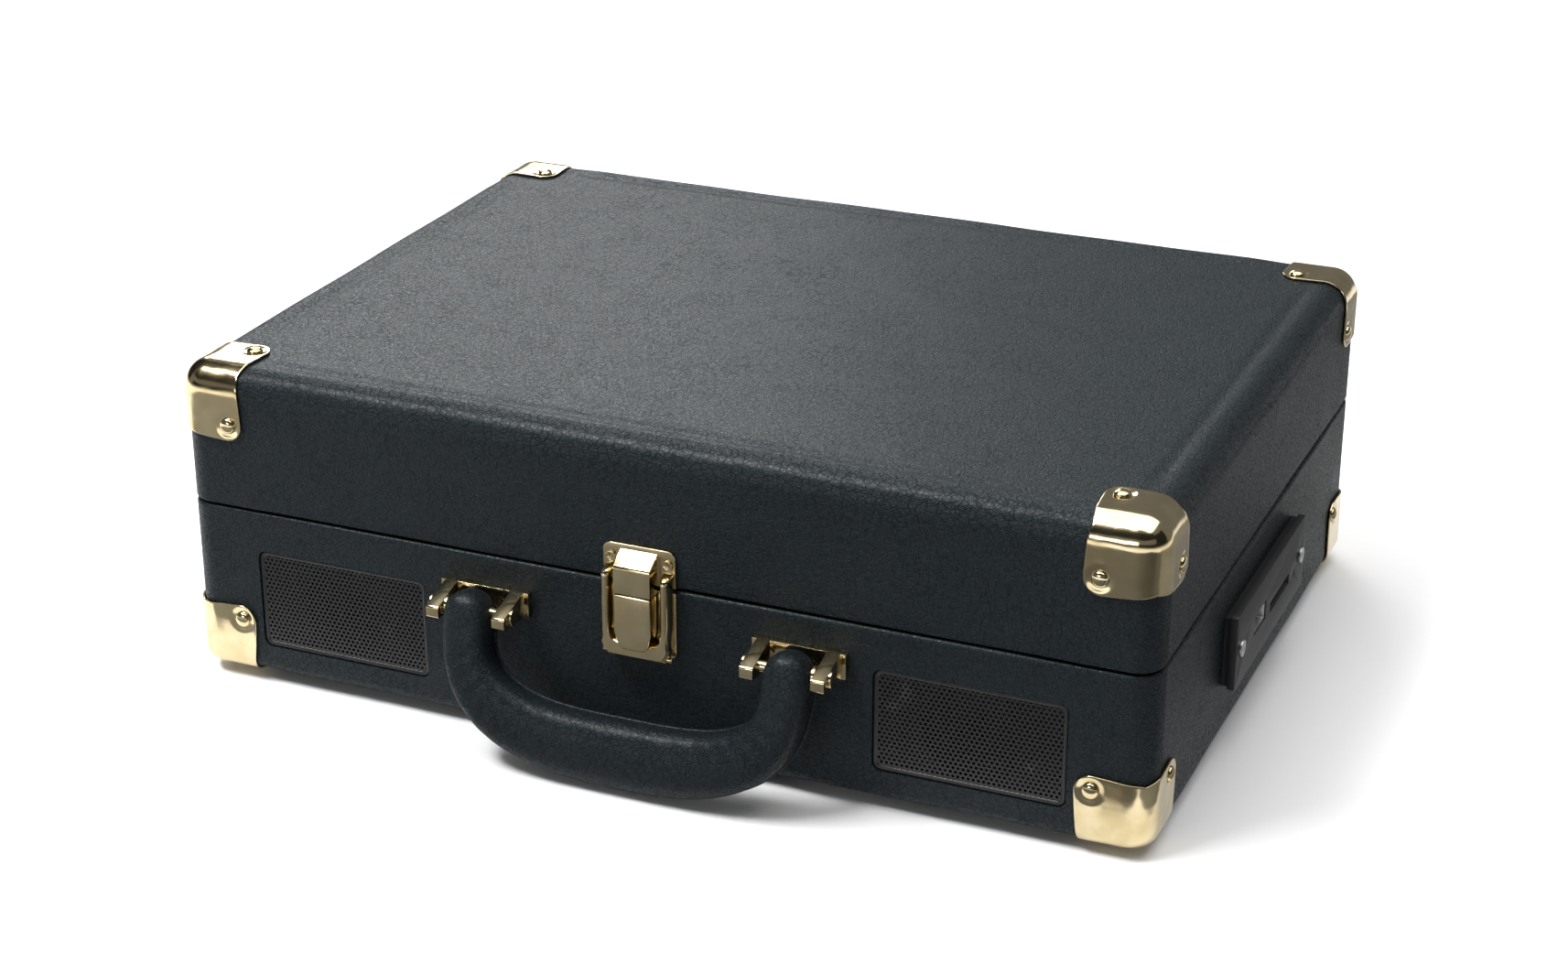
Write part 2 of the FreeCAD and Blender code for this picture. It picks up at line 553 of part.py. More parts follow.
def case_shells():
    """Covers, boards, floor and lining, with every window and hole that the fittings need."""
    base_tools = corner_set("base", "foot_height", "-Z",
                            lambda name, outset: base_block(name, outset, "foot_height + corner_size + corner_deep"))
    lid_tools = corner_set("lid", LID_TOP, "+Z",
                           lambda name, outset: lid_block(name, outset, f"{LID_TOP} - corner_size - corner_deep"))
    base_seats, lid_seats = seats()
    base_bits = [screw_hole(f"base_hole_{number}", kind, where, turn, "bracket_wall")
                 for number, (kind, where, turn, sunk) in enumerate(base_seats, start=1)]
    lid_bits = [screw_hole(f"lid_hole_{number}", kind, where, turn)
                for number, (kind, where, turn, sunk) in enumerate(lid_seats, start=1)]
    base_holes = group("base_screw_tools", *base_bits)
    lid_holes = group("lid_screw_tools", *lid_bits)
    panel_bits = group("panel_screw_tools", *[screw_hole(f"panel_hole_{number}", "dark", where, turn)
                                              for number, (where, turn) in enumerate(dark_seats()[:2], start=1)])
    windows = speaker_windows() + [panel_window(), socket_window()]
    tools = [base_tools, base_holes, panel_bits] + windows

    outer = base_block("base_outer", "0", RIM)
    soften(outer, "base_outer_rim", "rim_wall", at_level(value_of(RIM)))
    board_space = base_block("base_board_space", "-cover_wall", f"{RIM} - rim_wall")
    keep(cut("base_cover", outer, board_space, inner_box("base_mouth", f"{RIM} - rim_wall - past", f"{RIM} + past"),
             *tools))
    board = base_block("base_board", "-cover_wall", f"{RIM} - rim_wall")
    keep(cut("base_frame", board, inner_box("base_room", "foot_height - past", f"{RIM} + past"), *tools))
    keep(cut("base_floor", inner_box("base_floor_board", "foot_height + cover_wall", FLOOR_TOP), base_tools))

    lid_outer = lid_block("lid_outer", "0", LID_LOW)
    soften(lid_outer, "lid_outer_rim", "rim_wall", at_level(value_of(LID_LOW)))
    lid_space = lid_block("lid_board_space", "-cover_wall", f"{LID_LOW} + rim_wall")
    keep(cut("lid_cover", lid_outer, lid_space, inner_box("lid_mouth", f"{LID_LOW} - past",
                                                              f"{LID_LOW} + rim_wall + past"),
             lid_tools, lid_holes))
    lid_board = lid_block("lid_board", "-cover_wall", f"{LID_LOW} + rim_wall")
    keep(cut("lid_frame", lid_board, inner_box("lid_room", f"{LID_LOW} - past", LID_CEILING), lid_tools, lid_holes))
    lining = inner_box("lid_lining_outer", f"{LID_LOW} + rim_wall", LID_CEILING)
    keep(cut("lid_lining", lining, inner_box("lid_lining_room", f"{LID_LOW} - past", f"{LID_CEILING} - lining_wall",
                                             "lining_wall")))


def feet():
    """Four rubber feet under the base."""
    made = []
    for x_sign in ("-", ""):
        for y_sign in ("-", "+"):
            where = (f"{x_sign}({HALF_X} - foot_inset)", f"case_shift {y_sign} (case_depth / 2 - foot_inset)", "0")
            made.append(turned(f"foot_{len(made) + 1}", [("0", "0"), ("foot_radius - foot_taper", "0"),
                                                         ("foot_radius", "foot_height"), ("0", "foot_height")],
                               where))
    keep(group("rubber_feet", *made))


# ---------------------------------------------------------------- fasteners

def fasteners():
    """All the screws, as one group for each finish and each half of the case."""
    base_seats, lid_seats = seats()
    for name, places in (("base_screws", base_seats), ("lid_screws", lid_seats)):
        keep(group(name, *[screw(f"{name}_{number}", kind, where, turn, sunk)
                           for number, (kind, where, turn, sunk) in enumerate(places, start=1)]))
    keep(group("dark_screws", *[screw(f"dark_screw_{number}", "dark", where, turn)
                                for number, (where, turn) in enumerate(dark_seats(), start=1)]))


# ---------------------------------------------------------------- hinges

def hinges():
    """Two stop hinges on the rear: a base leaf with two knuckles, a lid leaf with one, and a pin each."""
    leaves = {"base": [], "lid": []}
    pins = []
    base_seats, lid_seats = seats()
    for side, middle in (("left", "-hinge_offset"), ("right", "hinge_offset")):
        half = "hinge_length / 2"
        knuckle = "hinge_knuckle / 2"
        spans = {
            "lid": [(f"{middle} - {knuckle}", f"{middle} + {knuckle}")],
            "base": [(f"{middle} - {half}", f"{middle} - {knuckle} - part_clearance"),
                     (f"{middle} + {knuckle} + part_clearance", f"{middle} + {half}")],
        }
        for leaf, knuckles in spans.items():
            away = "+" if leaf == "lid" else "-"
            near = f"{HINGE_Z} {away} (hinge_barrel + part_clearance)"
            far = f"{HINGE_Z} {away} (hinge_barrel + part_clearance + hinge_leaf_height)"
            low, high = (near, far) if leaf == "lid" else (far, near)
            pieces = [box(f"{leaf}_leaf_plate_{side}", [(f"{middle} - {half}", f"{middle} + {half}"),
                                                        (REAR, f"{REAR} + hinge_leaf"), (low, high)])]
            for number, (start, end) in enumerate(knuckles, start=1):
                pieces.append(rod(f"{leaf}_knuckle_{side}_{number}", "hinge_barrel", f"({end}) - ({start})",
                                  (start, HINGE_Y, HINGE_Z), "+X"))
                web = (HINGE_Z, near) if leaf == "lid" else (near, HINGE_Z)
                pieces.append(box(f"{leaf}_web_{side}_{number}",
                                  [(start, end), (f"{REAR} + 0.05", f"{REAR} + hinge_leaf"), web]))
            bore = rod(f"{leaf}_bore_{side}", "hinge_pin + pin_clearance", "hinge_length + 2 * past",
                       (f"{middle} - {half} - past", HINGE_Y, HINGE_Z), "+X")
            places = base_seats if leaf == "base" else lid_seats
            bits = [screw_hole(f"{leaf}_leaf_hole_{side}_{number}", kind, where, turn)
                    for number, (kind, where, turn, sunk) in enumerate(places, start=1)
                    if turn == "+Y" and where[0].startswith("-") == (side == "left")]
            leaves[leaf].append(cut(f"{leaf}_leaf_{side}", fuse(f"{leaf}_leaf_blank_{side}", *pieces), bore,
                                    group(f"{leaf}_leaf_tools_{side}", *bits)))
        pins.append(rod(f"hinge_pin_{side}", "hinge_pin", "hinge_length",
                        (f"{middle} - {half}", HINGE_Y, HINGE_Z), "+X"))
    keep(group("hinge_base_leaves", *leaves["base"]))
    keep(group("hinge_lid_leaves", *leaves["lid"]))
    keep(group("hinge_pins", *pins))


# ---------------------------------------------------------------- latch

def latch():
    """Strike plate on the lid; plate, pin, lever and claw on the base."""
    face = f"{FRONT} - latch_plate_wall"
    half = "latch_half_width"
    strike = slab("strike_base", "XZ_Plane", rectangle(f"-{half}", half, f"{LID_LOW} + strike_gap",
                                                       f"{LID_LOW} + strike_rise"),
                  face, FRONT, [("latch_corner", (2, 3))])
    tab_front = f"{FRONT} - tab_reach"
    tab_back = f"{FRONT} - lever_back"
    tab = slab("strike_tab", "YZ_Plane", [(tab_back, "tab_low"), (tab_back, f"{LID_LOW} + tab_gap"),
                                          (f"{face} + sunk", f"{LID_LOW} + tab_gap"), (f"{face} + sunk", "tab_slope_top"),
                                          (tab_front, "tab_high"), (tab_front, "tab_low")],
               "-tab_half_width", "tab_half_width", [("tab_corner", (4,))])
    holes = [screw_hole(f"strike_hole_{number}", kind, where, turn)
             for number, (kind, where, turn, sunk) in enumerate(seats()[1], start=1) if turn == "-Y"]
    keep(cut("strike_plate", fuse("strike_blank", strike, tab), group("strike_tools", *holes)))

    pivot = (f"{FRONT} - latch_pivot_reach", "latch_pivot_height")
    plate = slab("latch_base", "XZ_Plane", rectangle(f"-{half}", half, "latch_plate_low", f"{RIM} - latch_gap"),
                 face, FRONT, [("latch_corner", (0, 1))])
    ears = []
    for side, (low, high) in (("left", ("-latch_ear_outer", "-latch_ear_inner")),
                              ("right", ("latch_ear_inner", "latch_ear_outer"))):
        ears.append(rod(f"latch_ear_{side}", "latch_ear_radius", f"({high}) - ({low})", (low, *pivot), "+X"))
        ears.append(box(f"latch_ear_web_{side}", [(low, high), (pivot[0], f"{face} + sunk"),
                                                  (f"{pivot[1]} - latch_ear_radius", f"{pivot[1]} + latch_ear_radius")]))
    bore = rod("latch_bore", "latch_pin_radius + pin_clearance", "2 * (lever_half_width + past)",
               ("-lever_half_width - past", *pivot), "+X")
    keep(cut("latch_plate", fuse("latch_plate_blank", plate, *ears), bore))
    keep(rod("latch_pin", "latch_pin_radius", "2 * lever_half_width", ("-lever_half_width", *pivot), "+X"))

    front = f"{FRONT} - lever_reach"
    inner = f"{FRONT} - lever_reach + lever_sheet"
    skin = slab("lever_front", "XZ_Plane", [
        ("-lever_half_width", "lever_low"), ("lever_half_width", "lever_low"), ("lever_half_width", "lever_high"),
        ("lever_slot_half_width", "lever_high"), ("lever_slot_half_width", "lever_slot_low"),
        ("-lever_slot_half_width", "lever_slot_low"), ("-lever_slot_half_width", "lever_high"),
        ("-lever_half_width", "lever_high")], front, inner, [("lever_corner", (0, 1)), ("slot_round", (2, 3, 6, 7))])
    pieces = [skin]
    for side, (low, high) in (("left", ("-lever_half_width", "-lever_half_width + lever_sheet")),
                              ("right", ("lever_half_width - lever_sheet", "lever_half_width"))):
        pieces.append(slab(f"lever_cheek_{side}", "YZ_Plane", [
            (front, "lever_low + cheek_toe"), (f"{pivot[0]} - cheek_front", "lever_low"),
            (f"{pivot[0]} + cheek_back", "lever_low"),
            (f"{pivot[0]} + cheek_rear", pivot[1]), (tab_back, f"{pivot[1]} + cheek_rise"),
            (tab_back, "lever_high - cheek_drop"),
            (front, "lever_high - cheek_drop")], low, high))
    keep(cut("latch_lever", fuse("lever_blank", *pieces), bore))
    claw_front = f"{FRONT} - tab_reach - sunk"
    claw_back = f"{FRONT} - claw_back"
    claw = slab("claw_side", "YZ_Plane", [(claw_front, "claw_root"), (front, "claw_root"), (front, "lever_slot_low"),
                                          (claw_back, "lever_slot_low"), (claw_back, "tab_low - claw_gap"),
                                          (claw_front, "tab_low - claw_gap")],
                "-tab_half_width", "tab_half_width")
    face_outline = slab("claw_face", "XZ_Plane", [
        ("-claw_foot_half_width", "claw_root"), ("claw_foot_half_width", "claw_root"),
        ("tab_half_width", "claw_low + claw_shoulder"), ("tab_half_width", "tab_low"), ("-tab_half_width", "tab_low"),
        ("-tab_half_width", "claw_low + claw_shoulder")], f"{claw_front} - past", f"{claw_back} + past", [("claw_round", (0, 1))])
    keep(common("latch_claw", claw, face_outline))


# ---------------------------------------------------------------- handle

def bracket(side, middle):
    """A handle bracket: a plate with two tapering arms, bored for the pin and sunk for its screws."""
    plate = box(f"bracket_plate_{side}", [(f"{middle} - bracket_half_width", f"{middle} + bracket_half_width"),
                                          (f"{FRONT} - bracket_wall", FRONT), ("bracket_low", "bracket_high")])
    arms = []
    for arm, (low, high) in (("a", (f"{middle} - bracket_arm_outer", f"{middle} - bracket_arm_inner")),
                             ("b", (f"{middle} + bracket_arm_inner", f"{middle} + bracket_arm_outer"))):
        arms.append(slab(f"bracket_arm_{side}_{arm}", "YZ_Plane", [
            (f"{FRONT} - 0.5", "bracket_low"), (f"{FRONT} - 0.5", "bracket_high"),
            (f"{FRONT} - bracket_wall - 1", "bracket_high"),
            (f"{FRONT} - bracket_reach", "bracket_tip_high"), (f"{FRONT} - bracket_reach", "bracket_tip_low"),
            (f"{FRONT} - bracket_wall - 1", "bracket_low")], low, high, [("1", (3, 4))]))
    bore = rod(f"bracket_bore_{side}", "handle_pin_radius + pin_clearance / 2", "2 * bracket_half_width",
               (f"{middle} - bracket_half_width", f"{FRONT} - handle_pivot_reach", "handle_pivot_height"), "+X")
    bits = []
    for number, (kind, where, turn, sunk) in enumerate(seats()[0], start=1):
        if turn == "-Y" and where[0].startswith("-") == (side == "left"):
            bits.append(screw_hole(f"bracket_hole_{side}_{number}", kind, where, turn))
            bits.append(drilling(f"bracket_sink_{side}_{number}", "small_screw_head + 0.1", "small_screw_rise",
                                 where, turn))
    keep(cut(f"handle_bracket_{side}", fuse(f"bracket_blank_{side}", plate, *arms), bore,
             fuse(f"bracket_tools_{side}", *bits)))


def handle():
    """Brackets, shouldered pins and the padded D-shaped handle, which leans out and rests on the table."""
    pins = []
    for side, sign in (("left", "-"), ("right", "")):
        middle = f"{sign}handle_offset"
        bracket(side, middle)
        centre = (f"{FRONT} - handle_pivot_reach", "handle_pivot_height")
        shaft = rod(f"handle_pin_shaft_{side}", "handle_pin_radius", "2 * bracket_arm_outer",
                    (f"{middle} - bracket_arm_outer", *centre), "+X")
        ends = [rod(f"handle_pin_end_a_{side}", "handle_pin_head", "handle_pin_head_height",
                    (f"{middle} - bracket_arm_outer - handle_pin_head_height", *centre), "+X"),
                rod(f"handle_pin_end_b_{side}", "handle_pin_head", "handle_pin_head_height",
                    (f"{middle} + bracket_arm_outer", *centre), "+X")]
        outer_gap = ("handle_leg_outer + part_clearance", "handle_offset + bracket_arm_inner")
        low, high = outer_gap if side == "right" else (f"-({outer_gap[1]})", f"-({outer_gap[0]})")
        collar = rod(f"handle_collar_{side}", "handle_collar", f"({high}) - ({low})", (low, *centre), "+X")
        pins.append(fuse(f"handle_pin_{side}", shaft, collar, *ends))
    keep(group("handle_pins", *pins))

    half = "handle_half_thickness"
    grip = slab("grip_blank", "XZ_Plane", [
        ("-handle_leg_outer", "handle_top"), ("-handle_shoulder", "-handle_shoulder_drop"), ("0", "-handle_drop"),
        ("handle_shoulder", "-handle_shoulder_drop"), ("handle_leg_outer", "handle_top"),
        ("handle_leg_inner", "handle_top"), ("grip_half_length", "-grip_inner_drop"),
        ("-grip_half_length", "-grip_inner_drop"), ("-handle_leg_inner", "handle_top")],
        f"-{half}", half, [("handle_outer_round", (1, 3)), ("handle_inner_round", (6, 7)), ("handle_belly_round", (2,))])
    soften(grip, "grip_faces", "handle_round",
           lambda edge: all(abs(abs(vertex.Point.y) - size("handle_half_thickness")) < 1e-5
                            for vertex in edge.Vertexes))
    bore = rod("grip_bore", "handle_pin_radius + pin_clearance", "2 * handle_leg_outer + 4",
               ("-handle_leg_outer - 2", "0", "0"), "+X")
    grip_hung = cut("handle_grip", grip, bore)
    grip_hung.Placement = FreeCAD.Placement(Vector(), Rotation(Vector(-1, 0, 0), size("handle_tilt")))
    grip_hung.setExpression("Placement.Rotation.Angle", bound("handle_tilt"))
    grip_hung.setExpression("Placement.Base.y", bound(f"{FRONT} - handle_pivot_reach"))
    grip_hung.setExpression("Placement.Base.z", bound("handle_pivot_height"))
    keep(grip_hung)


# ---------------------------------------------------------------- loudspeakers

def speakers():
    """Grilles that sit in the front's recesses, and the drivers behind them."""
    drivers = []
    for side, sign in (("left", "-"), ("right", "")):
        middle = f"{sign}speaker_offset"
        half_w, half_h = "grille_width / 2", "grille_height / 2"
        plate = slab(f"grille_plate_{side}", "XZ_Plane",
                     rectangle(f"{middle} - {half_w}", f"{middle} + {half_w}", f"speaker_height - {half_h}",
                               f"speaker_height + {half_h}"),
                     f"{FRONT} + grille_sunk", f"{FRONT} + grille_depth", [("grille_corner", (0, 1, 2, 3))])
        hollow = box(f"grille_hollow_{side}", [
            (f"{middle} - {half_w} + grille_rim", f"{middle} + {half_w} - grille_rim"),
            (f"{FRONT} + grille_sunk + grille_wall", f"{FRONT} + grille_depth + 1"),
            (f"speaker_height - {half_h} + grille_rim", f"speaker_height + {half_h} - grille_rim")])
        keep(cut(f"speaker_grille_{side}", plate, hollow))
        drivers.append(turned(f"driver_{side}", [
            ("0", "driver_basket - driver_cone"), ("driver_mouth - 1", "0"), ("driver_radius", "0"),
            ("driver_radius", "driver_flange"), ("driver_mouth", "driver_flange"),
            ("driver_magnet", "driver_basket"), ("driver_magnet", "driver_basket + driver_magnet_depth"),
            ("0", "driver_basket + driver_magnet_depth")],
            (middle, INNER_FRONT, "speaker_height"), "+Y"))
    keep(group("speaker_drivers", *drivers))


# ---------------------------------------------------------------- socket panel and electronics

def socket_panel():
    """The moulded panel on the right side, its sockets and the amplifier board behind it."""
    low_y, high_y = "panel_low_y + case_shift", "panel_high_y + case_shift"
    inset = "panel_seat_inset"
    seat = box("panel_seat_block", [(HALF_X, f"{HALF_X} + panel_seat + 0.1"),
                                    (f"{low_y} + {inset}", f"{high_y} - {inset}"),
                                    (f"panel_low + {inset}", f"panel_high - {inset}")])
    plate = slab("panel_face", "YZ_Plane", rectangle(low_y, high_y, "panel_low", "panel_high"),
                 f"{HALF_X} + panel_seat", f"{HALF_X} + panel_seat + panel_plate", [("panel_corner", (0, 1, 2, 3))])
    through = (f"{HALF_X} - 1", f"{HALF_X} + panel_seat + panel_plate + 1")
    usb_y = ("usb_middle + case_shift - usb_width / 2", "usb_middle + case_shift + usb_width / 2")
    card_y = ("card_middle + case_shift - card_width / 2", "card_middle + case_shift + card_width / 2")
    slots = [box("usb_slot", [through, (f"{usb_y[0]} - 0.1", f"{usb_y[1]} + 0.1"), ("usb_low - 0.1", "usb_high + 0.1")]),
             box("card_slot", [through, (f"{card_y[0]} - 0.1", f"{card_y[1]} + 0.1"),
                               ("card_low - 0.1", "card_high + 0.1")]),
             rod("light_hole", "light_radius + 0.05", "panel_seat + panel_plate + 2",
                 (f"{HALF_X} - 1", "light_middle + case_shift", "light_height"), "+X")]
    holes = [screw_hole(f"panel_pass_{number}", "dark", where, turn)
             for number, (where, turn) in enumerate(dark_seats()[:2], start=1)]
    keep(cut("side_panel", fuse("side_panel_blank", seat, plate), *slots, group("side_panel_tools", *holes)))

    face = f"{HALF_X} + panel_seat + panel_plate"
    shell = box("usb_shell_outer", [(f"{face} - usb_depth", f"{face} - 0.4"), usb_y, ("usb_low", "usb_high")])
    mouth = box("usb_shell_room", [(f"{face} - usb_depth + 1.5", f"{face} + 1"),
                                   (f"{usb_y[0]} + usb_sheet", f"{usb_y[1]} - usb_sheet"),
                                   ("usb_low + usb_sheet", "usb_high - usb_sheet")])
    tongue = box("usb_tongue_bar", [(f"{face} - usb_depth + 1", f"{face} - 3"),
                                    (f"{usb_y[0]} + 1.5", f"{usb_y[1]} - 1.5"),
                                    ("usb_high - usb_sheet - 1 - usb_tongue", "usb_high - usb_sheet - 1")])
    keep(fuse("usb_socket", cut("usb_shell", shell, mouth), tongue))
    body = box("card_body", [(f"{face} - card_depth", f"{face} - 0.6"), card_y, ("card_low", "card_high")])
    gap = box("card_gap", [(f"{face} - card_depth + 2", f"{face} + 1"),
                           (f"{card_y[0]} + card_sheet", f"{card_y[1]} - card_sheet"),
                           ("card_low + card_sheet", "card_high - card_sheet")])
    keep(cut("card_reader", body, gap))

    front, back = "board_front + case_shift", "board_back + case_shift"
    sheet = box("board_panel", [("board_left", "board_right"), (front, back),
                                ("board_high - board_sheet", "board_high")])
    chips = [box("board_chip_large", [("board_left + 10", "board_left + 24"), (f"{front} + 30", f"{front} + 44"),
                                      ("board_high - 0.1", "board_high + 2")]),
             box("board_heat_sink", [("board_left + 6", "board_left + 12"), (f"{front} + 52", f"{front} + 78"),
                                     ("board_high - 0.1", "board_high + 14")]),
             rod("board_capacitor_a", "4", "11", ("board_left + 32", f"{front} + 20", "board_high - 0.1")),
             rod("board_capacitor_b", "4", "11", ("board_left + 32", f"{front} + 32", "board_high - 0.1"))]
    pillars = []
    for x_place in ("board_left + pillar_inset", "board_right - pillar_inset"):
        for y_place in (f"{front} + pillar_inset", f"{back} - pillar_inset"):
            pillars.append(rod(f"pillar_{len(pillars) + 1}", "pillar_radius",
                               f"board_high - board_sheet - {FLOOR_TOP}", (x_place, y_place, FLOOR_TOP)))
    lamp = rod("panel_lamp", "light_radius", "20", (f"{face} - 20.2", "light_middle + case_shift", "light_height"),
               "+X")
    lamp_foot = box("panel_lamp_foot", [(f"{face} - 21", f"{face} - 18"),
                                        ("light_middle + case_shift - 1", "light_middle + case_shift + 1"),
                                        ("board_high - 0.1", "light_height")])
    keep(fuse("circuit_board", sheet, *chips, *pillars, lamp, lamp_foot))


def rear_sockets():
    """A plate on the rear with two coaxial signal sockets and a round low-voltage inlet."""
    middle = "socket_middle"
    high = "socket_plate_low + socket_plate_height"
    plate = slab("socket_plate", "XZ_Plane",
                 rectangle(f"{middle} - socket_plate_width / 2", f"{middle} + socket_plate_width / 2",
                           "socket_plate_low", high), REAR, f"{REAR} + socket_plate_wall", [("socket_plate_corner", (0, 1, 2, 3))])
    level = "socket_plate_low + socket_plate_height / 2"
    face = f"{REAR} + socket_plate_wall"
    pieces, bores = [plate], []
    for name, place_x in (("a", f"{middle} - socket_spacing / 2 - 8"), ("b", f"{middle} + socket_spacing / 2 - 8")):
        pieces.append(rod(f"signal_socket_{name}", "socket_radius", "socket_length + 0.2",
                          (place_x, f"{face} - 0.2", level), "+Y"))
        bores.append(rod(f"signal_bore_{name}", "socket_bore", "socket_bore_depth + 1",
                         (place_x, f"{face} + socket_length - socket_bore_depth", level), "+Y"))
    inlet_x = f"{middle} + inlet_offset"
    pieces.append(rod("inlet_body", "inlet_radius", "inlet_length + 9", (inlet_x, f"{face} - 9", level), "+Y"))
    bores.append(rod("inlet_bore_tool", "inlet_bore", "10", (inlet_x, f"{face} - 7", level), "+Y"))
    pin = rod("inlet_pin_rod", "inlet_pin", "8", (inlet_x, f"{face} - 7.5", level), "+Y")
    keep(fuse("rear_sockets", cut("rear_sockets_bored", fuse("rear_sockets_blank", *pieces),
                                  group("rear_bores", *bores)), pin))


# ---------------------------------------------------------------- deck and drive

def deck_hole(name, radius, x_place, y_place):
    """A round hole's tool, right through the deck."""
    return rod(name, radius, "deck_wall + 2", (x_place, f"{y_place} + case_shift", f"{DECK_LOW} - 1"))


def pulley_place():
    """The motor shaft's place, from the platter's centre, a distance and an angle."""
    angle = math.radians(size("pulley_angle"))
    return (f"platter_x + pulley_distance * {math.cos(angle):.6f}",
            f"platter_y + pulley_distance * ({math.sin(angle):.6f})")


def deck():
    """The deck plate on its corner posts, with a hole for everything that passes through it."""
    posts = []
    for x_span in ((f"-{INNER_X}", f"-{INNER_X} + post_side"), (f"{INNER_X} - post_side", INNER_X)):
        for y_span in ((INNER_FRONT, f"{INNER_FRONT} + post_side"), (f"{INNER_REAR} - post_side", INNER_REAR)):
            posts.append(box(f"post_{len(posts) + 1}", [x_span, y_span, (FLOOR_TOP, DECK_LOW)]))
    bits = [screw_hole(f"deck_screw_hole_{number}", "dark", where, turn)
            for number, (where, turn) in enumerate(dark_seats()[2:], start=1)]
    screw_tools = group("deck_screw_tools", *bits)
    keep(cut("deck_posts", group("deck_post_blanks", *posts), screw_tools))

    plate = inner_box("deck_blank", DECK_LOW, DECK_TOP, "deck_clearance")
    pulley_x, pulley_y = pulley_place()
    holes = [deck_hole("bearing_hole", "spindle_radius + pin_clearance + bearing_wall + 0.05", "platter_x",
                       "platter_y"),
             deck_hole("pulley_hole", "motor_shaft + 1", pulley_x, pulley_y),
             deck_hole("volume_hole", "knob_shaft + pin_clearance", "control_x", "volume_y"),
             deck_hole("source_hole", "knob_shaft + pin_clearance", "control_x", "source_y"),
             deck_hole("speed_hole", "knob_shaft + pin_clearance", "control_x", "speed_y"),
             box("stop_slot", [("control_x - stop_width / 2 - 0.2", "control_x + stop_width / 2 + 0.2"),
                               ("stop_y + case_shift - stop_length / 2 - 0.2",
                                "stop_y + case_shift + stop_length / 2 + stop_travel + 0.2"),
                               (f"{DECK_LOW} - 1", f"{DECK_TOP} + 1")]),
             rod("adapter_seat", "adapter_radius + part_clearance", "adapter_recess + 1",
                 ("adapter_x", "adapter_y + case_shift", f"{DECK_TOP} - adapter_recess"))]
    keep(cut("deck_plate", plate, screw_tools, *holes))


def drive():
    """Bearing, spindle, platter, slip mat, motor, pulley and belt."""
    centre = ("platter_x", "platter_y + case_shift")
    low = f"{DECK_TOP} + platter_gap"
    top = f"{DECK_TOP} + platter_gap + platter_height"
    bore = "spindle_radius + pin_clearance"
    keep(turned("spindle_bearing", [
        (bore, "-bearing_length"), (f"{bore} + bearing_wall", "-bearing_length"),
        (f"{bore} + bearing_wall", "0"), ("bearing_flange", "0"), ("bearing_flange", "1"), (bore, "1")],
        (*centre, DECK_TOP)))
    sheet = "platter_height - platter_sheet"
    keep(turned("platter", [
        ("spindle_radius", "0.2"), ("hub_radius", "0.2"), ("hub_radius", sheet),
        ("drive_ring - drive_ring_wall", sheet), ("drive_ring - drive_ring_wall", "0"), ("drive_ring", "0"),
        ("drive_ring", sheet), ("platter_radius - skirt_wall", sheet), ("platter_radius - skirt_wall", "0"),
        ("platter_radius", "0"), ("platter_radius", "platter_height"), ("spindle_radius", "platter_height")],
        (*centre, low), rounds=[("1", "platter_radius", "platter_height")]))
    keep(turned("slip_mat", [("spindle_radius + 0.3", "0"), ("mat_radius", "0"), ("mat_radius", "mat_wall"),
                             ("spindle_radius + 0.3", "mat_wall")], (*centre, top)))
    keep(turned("spindle", [
        ("0", "-spindle_drop"), ("spindle_radius", "-spindle_drop"),
        ("spindle_radius", "platter_gap + platter_height + mat_wall + spindle_rise - spindle_tip"),
        ("spindle_radius * 0.4", "platter_gap + platter_height + mat_wall + spindle_rise"),
        ("0", "platter_gap + platter_height + mat_wall + spindle_rise")], (*centre, DECK_TOP)))

    pulley_x, pulley_y = pulley_place()
    pulley_y = f"{pulley_y} + case_shift"
    belt_low = f"{DECK_TOP} + platter_gap + 0.5"
    can = rod("motor_can", "motor_radius", "motor_height", (pulley_x, pulley_y, f"{DECK_LOW} - motor_height"))
    shaft = rod("motor_spigot", "motor_shaft", "deck_wall + platter_gap + 1.5",
                (pulley_x, pulley_y, f"{DECK_LOW} - 0.5"))
    keep(fuse("motor", can, shaft))
    keep(turned("motor_pulley", [
        ("motor_shaft + pin_clearance", "0"), ("pulley_radius", "0"), ("pulley_radius", "belt_height + 0.4"),
        ("0", "belt_height + 0.4"), ("0", "2.5"), ("motor_shaft + pin_clearance", "2.5")],
        (pulley_x, pulley_y, f"{belt_low} - 0.2")))
    drive_belt(belt_low)


